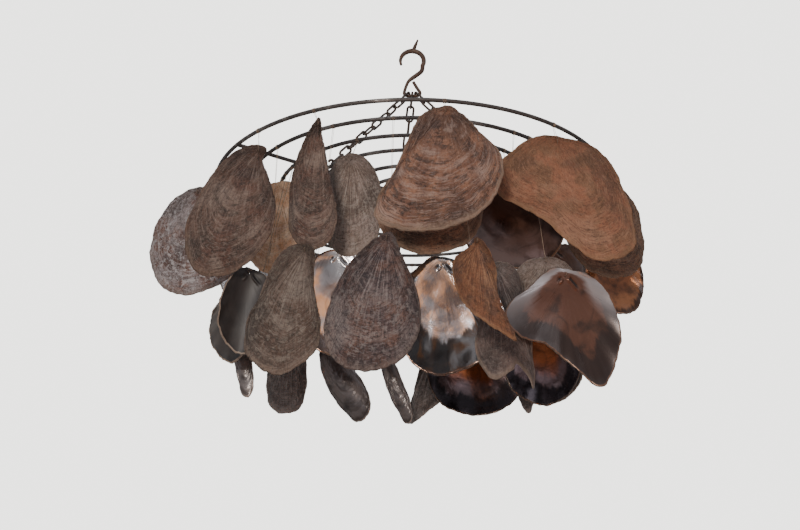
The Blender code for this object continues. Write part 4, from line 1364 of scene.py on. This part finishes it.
@dataclass
class HangingGear:
    """The forged hook, the three chains and the open links at their feet."""

    bowl_r: float = 0.0204
    bowl_arc: tuple[float, float] = (203.0, -25.0)
    hook_rod_r: float = 0.0039
    bowl_swell: Profile = ((0, 0.55), (9, 0.9), (20, 1.12), (40, 1.0))
    neck: Profile = ((0.0165, -0.0365), (0.0070, -0.0455), (-0.0035, -0.0540))
    eye: Profile = (
        (-0.0082, -0.0610), (-0.0118, -0.0720), (-0.0134, -0.0800), (-0.0102, -0.0852),
        (0.0102, -0.0852), (0.0136, -0.0795), (0.0082, -0.0700), (0.0022, -0.0585),
    )  # fmt: skip
    eye_rod_r: float = 0.0028
    eye_bar_z: float = -0.0852
    eye_bar_x: Place = (-0.0075, 0.0086, -0.0002)
    spur: Profile = ((0.0009, 0.0012), (0.0035, 0.0085), (0.0066, 0.0175), (0.0100, 0.0268))
    spur_radii: tuple[float, ...] = (0.0042, 0.0034, 0.0026, 0.0014)
    links: int = 10
    half_width: float = 0.0055
    wire_r: float = 0.0020
    bite: float = 0.0012
    open_r: float = 0.0064
    open_h: float = 0.013
    open_wire_r: float = 0.0021
    foot_ring: int = 3
    foot_shift: float = 3.5

    def build(self, shop: Workshop) -> None:
        """Builds the hook, then each chain with its open link."""
        self.build_hook(shop)
        for number in range(len(SPOKE_ANGLES)):
            self.build_chain(number, shop)
            self.build_open_link(number, shop)

    def build_hook(self, shop: Workshop) -> None:
        """Draws out the bowl, neck, eye and spur."""
        at, swells = zip(*self.bowl_swell)
        middle = self.hook_rod_r - self.bowl_r
        turns = np.radians(np.linspace(*self.bowl_arc, at[-1] + 1))
        bowl = [Vector((self.bowl_r * math.cos(a), 0, middle + self.bowl_r * math.sin(a))) for a in turns]
        below = [Vector((x, 0, z)) for x, z in (*self.neck, *self.eye)]
        lower = smoothed([bowl[-2], bowl[-1], *below], 6)[6:]
        taper = np.interp(np.arange(at[-1]), at, swells) * self.hook_rod_r
        thin = self.eye_rod_r / self.hook_rod_r
        blend = np.interp(np.arange(len(lower)), [0, 15, 22, len(lower)], [1.0, 0.95, thin, thin])
        radii = np.concatenate([taper, blend * self.hook_rod_r])
        spur = smoothed([Vector((x, 0, z)) for x, z in self.spur], 6)
        swell = np.interp(np.linspace(0, 1, len(spur)), [0, 0.33, 0.67, 1], self.spur_radii)
        seed = course_mesh("hook_course", [bowl[:-1] + lower, spur], [radii, swell])
        forged = {"sides": 16, "unevenness": 0.6 * MM, "grain": 0.007}
        piece = shop.bars.grow(seed, "hook_forged", finish=shop.looks["forged_hook_iron"], **forged)
        keep(piece, "forged_hook", "hook")

    def ends(self, number: int) -> tuple[Vector, Vector, Vector, Vector]:
        """A chain's ends: the eye's wire, the ring's wire that it holds, the way down, the ring's run."""
        angle = SPOKE_ANGLES[number] + self.foot_shift
        eye = Vector((self.eye_bar_x[number], 0, self.eye_bar_z))
        foot = around(ring_radius(self.foot_ring), angle, FRAME_Z)
        return eye, foot, (foot - eye).normalized(), around(1, angle + 90, 0)

    def build_chain(self, number: int, shop: Workshop) -> None:
        """Hangs the links, each turned a quarter and a little more from the last."""
        eye, foot, down, tangent = self.ends(number)
        slanted_bar = self.eye_rod_r / math.sqrt(1 - down.x**2)
        top = eye - down * (slanted_bar + self.wire_r + GAP)
        grip = foot + down * (ROD_R + self.open_wire_r + GAP)
        bend = grip - down * (self.open_h + 2 * self.open_r)
        bottom = bend + down * (self.open_wire_r + self.wire_r + GAP)
        pitch = ((bottom - top).length - 2 * self.wire_r + self.bite) / self.links
        length = pitch + 2 * self.wire_r - self.bite
        first = Vector((1, 0, 0)).cross(down).normalized()
        last = (tangent - tangent.dot(down) * down).normalized()
        swing = math.degrees(math.atan2(down.dot(first.cross(last)), first.dot(last)))
        quarters = 90 * (self.links - 1)
        turn = (quarters + (swing - quarters + 90) % 180 - 90) / (self.links - 1)
        places = [top + down * (pitch * link + length / 2) for link in range(self.links)]
        across = [Matrix.Rotation(math.radians(turn * link), 3, down) @ first for link in range(self.links)]
        piece = shop.links.grow(
            point_mesh("link_points", places, down=[down] * self.links, across=across),
            f"chain_{number + 1}_links",
            wire_radius=self.wire_r,
            half_width=self.half_width,
            length=length,
            seed=float(number),
            finish=shop.looks["drawn_chain_iron"],
        )
        keep(piece, "chain_iron", f"chain_{number + 1}")

    def build_open_link(self, number: int, shop: Workshop) -> None:
        """Bends the open link that joins a chain's foot to the frame."""
        _, foot, down, tangent = self.ends(number)
        side = down.cross(tangent).normalized()
        low = foot + down * (ROD_R + self.open_wire_r + GAP - self.open_r)
        course = []
        for centre, start, end in ((low, 20, -180), (low - down * self.open_h, 180, -20)):
            for angle in np.radians(np.linspace(start, end, 19)):
                course.append(centre + self.open_r * (math.cos(angle) * side - math.sin(angle) * down))
        seed = course_mesh("open_link_course", [course], [self.open_wire_r])
        bent = {"sides": 10, "unevenness": 0.2 * MM, "finish": shop.looks["drawn_chain_iron"]}
        piece = shop.bars.grow(seed, f"open_link_{number + 1}_bent", **bent)
        keep(piece, "chain_iron", f"open_link_{number + 1}")


# ---------------------------------------------------------------- lamps


@dataclass
class Lamps:
    """Three lit bulbs under lampholders whose stems are wired to an inner ring.

    The profiles are (radius, height) from top to bottom.
    """

    angles: dict[str, float] = field(default_factory=lambda: {"left": 222.0, "middle": 284.0, "right": 330.0})
    ring: int = 4
    stem_r: float = 0.0018
    sides: int = 40
    tip: float = 0.25  # depth of a foot's point, over its radius
    binding: float = 2.2  # the wire also goes round the stem, so its coil is this many stem radii wider
    holder: Profile = (
        (0.0018, 0.004), (0.0018, -0.0095), (0.0040, -0.010), (0.0052, -0.0105), (0.0128, -0.0142),
        (0.0135, -0.0152), (0.0146, -0.0205), (0.0150, -0.0220), (0.0150, -0.0245), (0.0143, -0.0255),
        (0.0143, -0.0270), (0.0150, -0.0280), (0.0150, -0.0305), (0.0143, -0.0315), (0.0143, -0.0330),
        (0.0150, -0.0340), (0.0150, -0.0447), (0.0142, -0.0460),
    )  # fmt: skip
    bulb: Profile = (
        (0.0105, -0.0465), (0.0112, -0.0480), (0.0135, -0.0530), (0.0160, -0.0590), (0.0172, -0.0670),
        (0.0172, -0.0750), (0.0162, -0.0840), (0.0140, -0.0940), (0.0108, -0.1030), (0.0070, -0.1095),
        (0.0030, -0.1132),
    )  # fmt: skip

    def turned(
        self, name: str, profile: Profile, centre: Vector, finish: bpy.types.Material
    ) -> bpy.types.Object:
        """Turns a profile into a closed body.

        Args:
            name: The piece's name.
            profile: (radius, height) from top to bottom.
            centre: Where its axis crosses the plane of the rings.
            finish: Its material.

        Returns:
            The object.
        """
        turns = 2 * np.pi * np.arange(self.sides) / self.sides
        rows = [
            np.stack([radius * np.cos(turns), radius * np.sin(turns), np.full(self.sides, height)], axis=1)
            for radius, height in profile
        ]
        foot_r, foot_z = profile[-1]
        points = np.concatenate([*rows, [[0, 0, profile[0][1]], [0, 0, foot_z - foot_r * self.tip]]])
        ring = [(side, (side + 1) % self.sides) for side in range(self.sides)]
        faces = []
        for above in range(0, (len(profile) - 1) * self.sides, self.sides):
            below = above + self.sides
            faces += [(above + side, below + side, below + beside, above + beside) for side, beside in ring]
        top, foot, last = len(points) - 2, len(points) - 1, (len(profile) - 1) * self.sides
        for side, beside in ring:
            faces += [(top, side, beside), (foot, last + beside, last + side)]
        mesh = bpy.data.meshes.new(name)
        mesh.from_pydata((points + np.array(centre)).tolist(), [], faces)
        mesh.shade_smooth()
        mesh.set_sharp_from_angle(angle=math.radians(40))
        mesh.materials.append(finish)
        return new_object(name, mesh)

    def build(self, shop: Workshop) -> None:
        """Builds each lampholder and bulb, and the wire that binds each stem."""
        out = ring_radius(self.ring) + ROD_R + self.stem_r + GAP
        places, along = [], []
        for side, angle in self.angles.items():
            centre = around(out, angle, FRAME_Z)
            for node, made, profile, slot, finish in (
                (f"lampholder_{side}", "turned", self.holder, "lampholder", "moulded_phenolic"),
                (f"bulb_{side}", "blown", self.bulb, "lamp_glass", "etched_lamp_glass"),
            ):
                keep(self.turned(f"{node}_{made}", profile, centre, shop.looks[finish]), slot, node)
            places.append(around(out - self.stem_r, angle, FRAME_Z))
            along.append(around(1.0, angle + 90, 0.0))
        binding = shop.coils.grow(
            point_mesh("binding_points", places, along=along),
            "lamp_binding_wire",
            coil_radius=ROD_R + self.binding * self.stem_r,
            turns=5.25,
            finish=shop.looks["annealed_tie_wire"],
        )
        keep(binding, "chain_iron")


# ---------------------------------------------------------------- studio


@dataclass(frozen=True)
class Panel:
    """A square area light: its place, side, power in watts and colour, and what it faces."""

    name: str
    at: Place
    size: float
    power: float
    colour: str
    aim: Place = (0.0, 0.0, -0.40)

    def build(self) -> None:
        """Makes the light and turns it to what it faces."""
        data = bpy.data.lights.new(self.name, "AREA")
        data.size = self.size
        data.energy = self.power
        data.color = linear(self.colour)[:3]
        light = bpy.data.objects.new(self.name, data)
        light.location = self.at
        light.rotation_euler = (Vector(self.aim) - Vector(self.at)).to_track_quat("-Z", "Y").to_euler()
        bpy.context.scene.collection.objects.link(light)


@dataclass
class Studio:
    """Camera, lights, pale surroundings and the floor far below."""

    camera_at: Place = (0.0, -1.51538, -0.96451)
    pitch: float = 20.529
    lens: float = 45.09
    shift_x: float = -0.01513
    backdrop: str = "#f1f0ec"
    backdrop_strength: float = 3.35
    ambient: str = "#dfe3ea"
    ambient_strength: float = 0.22
    mirrored_strength: float = 0.70
    panels: tuple[Panel, ...] = (
        Panel("key_lamp", (-0.5, -2.6, -0.30), 0.42, 33.0, "#fff4e8"),
        Panel("overhead_panel", (0.3, 0.9, 1.6), 2.0, 16.0, "#f4f6ff"),
        Panel("front_panel", (-0.9, -2.2, 0.55), 1.1, 12.0, "#f6f5f7"),
        Panel("glint_lamp", (-0.35, -2.4, 0.30), 0.22, 4.0, "#ffffff"),
        Panel("rear_panel", (0.3, 2.6, 0.7), 1.6, 26.0, "#f5f5f8"),
        Panel("floor_wash", (0.0, 0.0, -1.2), 4.0, 16.0, "#fffdf8", aim=(0.0, 0.0, -2.3)),
        Panel("side_panel", (1.5, -1.9, 0.10), 0.5, 3.5, "#f3f4fa"),
        Panel("room_lamp_1", (1.2, -1.2, -1.1), 0.15, 1.5, "#ff9650"),
        Panel("room_lamp_2", (0.4, -2.0, -1.3), 0.15, 1.5, "#ff9650"),
        Panel("room_lamp_3", (-0.5, -1.9, -1.25), 0.15, 1.5, "#ff9650"),
    )
    floor_z: float = -2.3
    floor_reach: float = 12.0

    def build(self) -> None:
        """Places everything that isn't the chandelier."""
        self.build_camera()
        self.build_world()
        for panel in self.panels:
            panel.build()
        self.build_floor()

    def build_camera(self) -> None:
        """Makes the camera below the chandelier, looking up at it."""
        data = bpy.data.cameras.new("camera")
        data.lens = self.lens
        data.shift_x = self.shift_x
        camera = bpy.data.objects.new("camera", data)
        camera.location = self.camera_at
        camera.rotation_euler = (math.radians(90 + self.pitch), 0.0, 0.0)
        bpy.context.scene.collection.objects.link(camera)
        bpy.context.scene.camera = camera

    def build_world(self) -> None:
        """Surrounds the scene with pale light, softer as a light than as a backdrop."""
        world = bpy.data.worlds.new("pale_surroundings")
        bpy.context.scene.world = world
        world.use_nodes = True
        sky = Nodes(world.node_tree)
        sky.tree.nodes.clear()
        seen, lighting, mirrored = (
            sky.add("ShaderNodeBackground", {"Color": colour, "Strength": strength})
            for colour, strength in (
                (self.backdrop, self.backdrop_strength),
                (self.ambient, self.ambient_strength),
                (self.ambient, self.mirrored_strength),
            )
        )
        path = sky.add("ShaderNodeLightPath")
        mixed = sky.add("ShaderNodeMixShader", {0: path.outputs["Is Glossy Ray"], 1: lighting, 2: mirrored})
        mixed = sky.add("ShaderNodeMixShader", {0: path.outputs["Is Camera Ray"], 1: mixed, 2: seen})
        sky.add("ShaderNodeOutputWorld", {"Surface": mixed})

    def build_floor(self) -> None:
        """Lays the plain floor."""
        mesh = bpy.data.meshes.new("floor")
        reach = self.floor_reach
        corners = ((-reach, -reach), (reach, -reach), (reach, reach), (-reach, reach))
        mesh.from_pydata([(x, y, self.floor_z) for x, y in corners], [], [(0, 1, 2, 3)])
        mesh.materials.append(Plaster().material())
        floor = new_object("floor", mesh)


# ---------------------------------------------------------------- assembly


def main() -> None:
    """Builds the chandelier and its studio."""
    logging.basicConfig(level=logging.INFO, format="%(name)s: %(message)s")
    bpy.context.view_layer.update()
    Studio().build()
    shop = Workshop()
    RingFrame().build(shop)
    HangingGear().build(shop)
    Lamps().build(shop)
    ShellCurtain().build(shop)


if __name__ == "__main__":
    main()
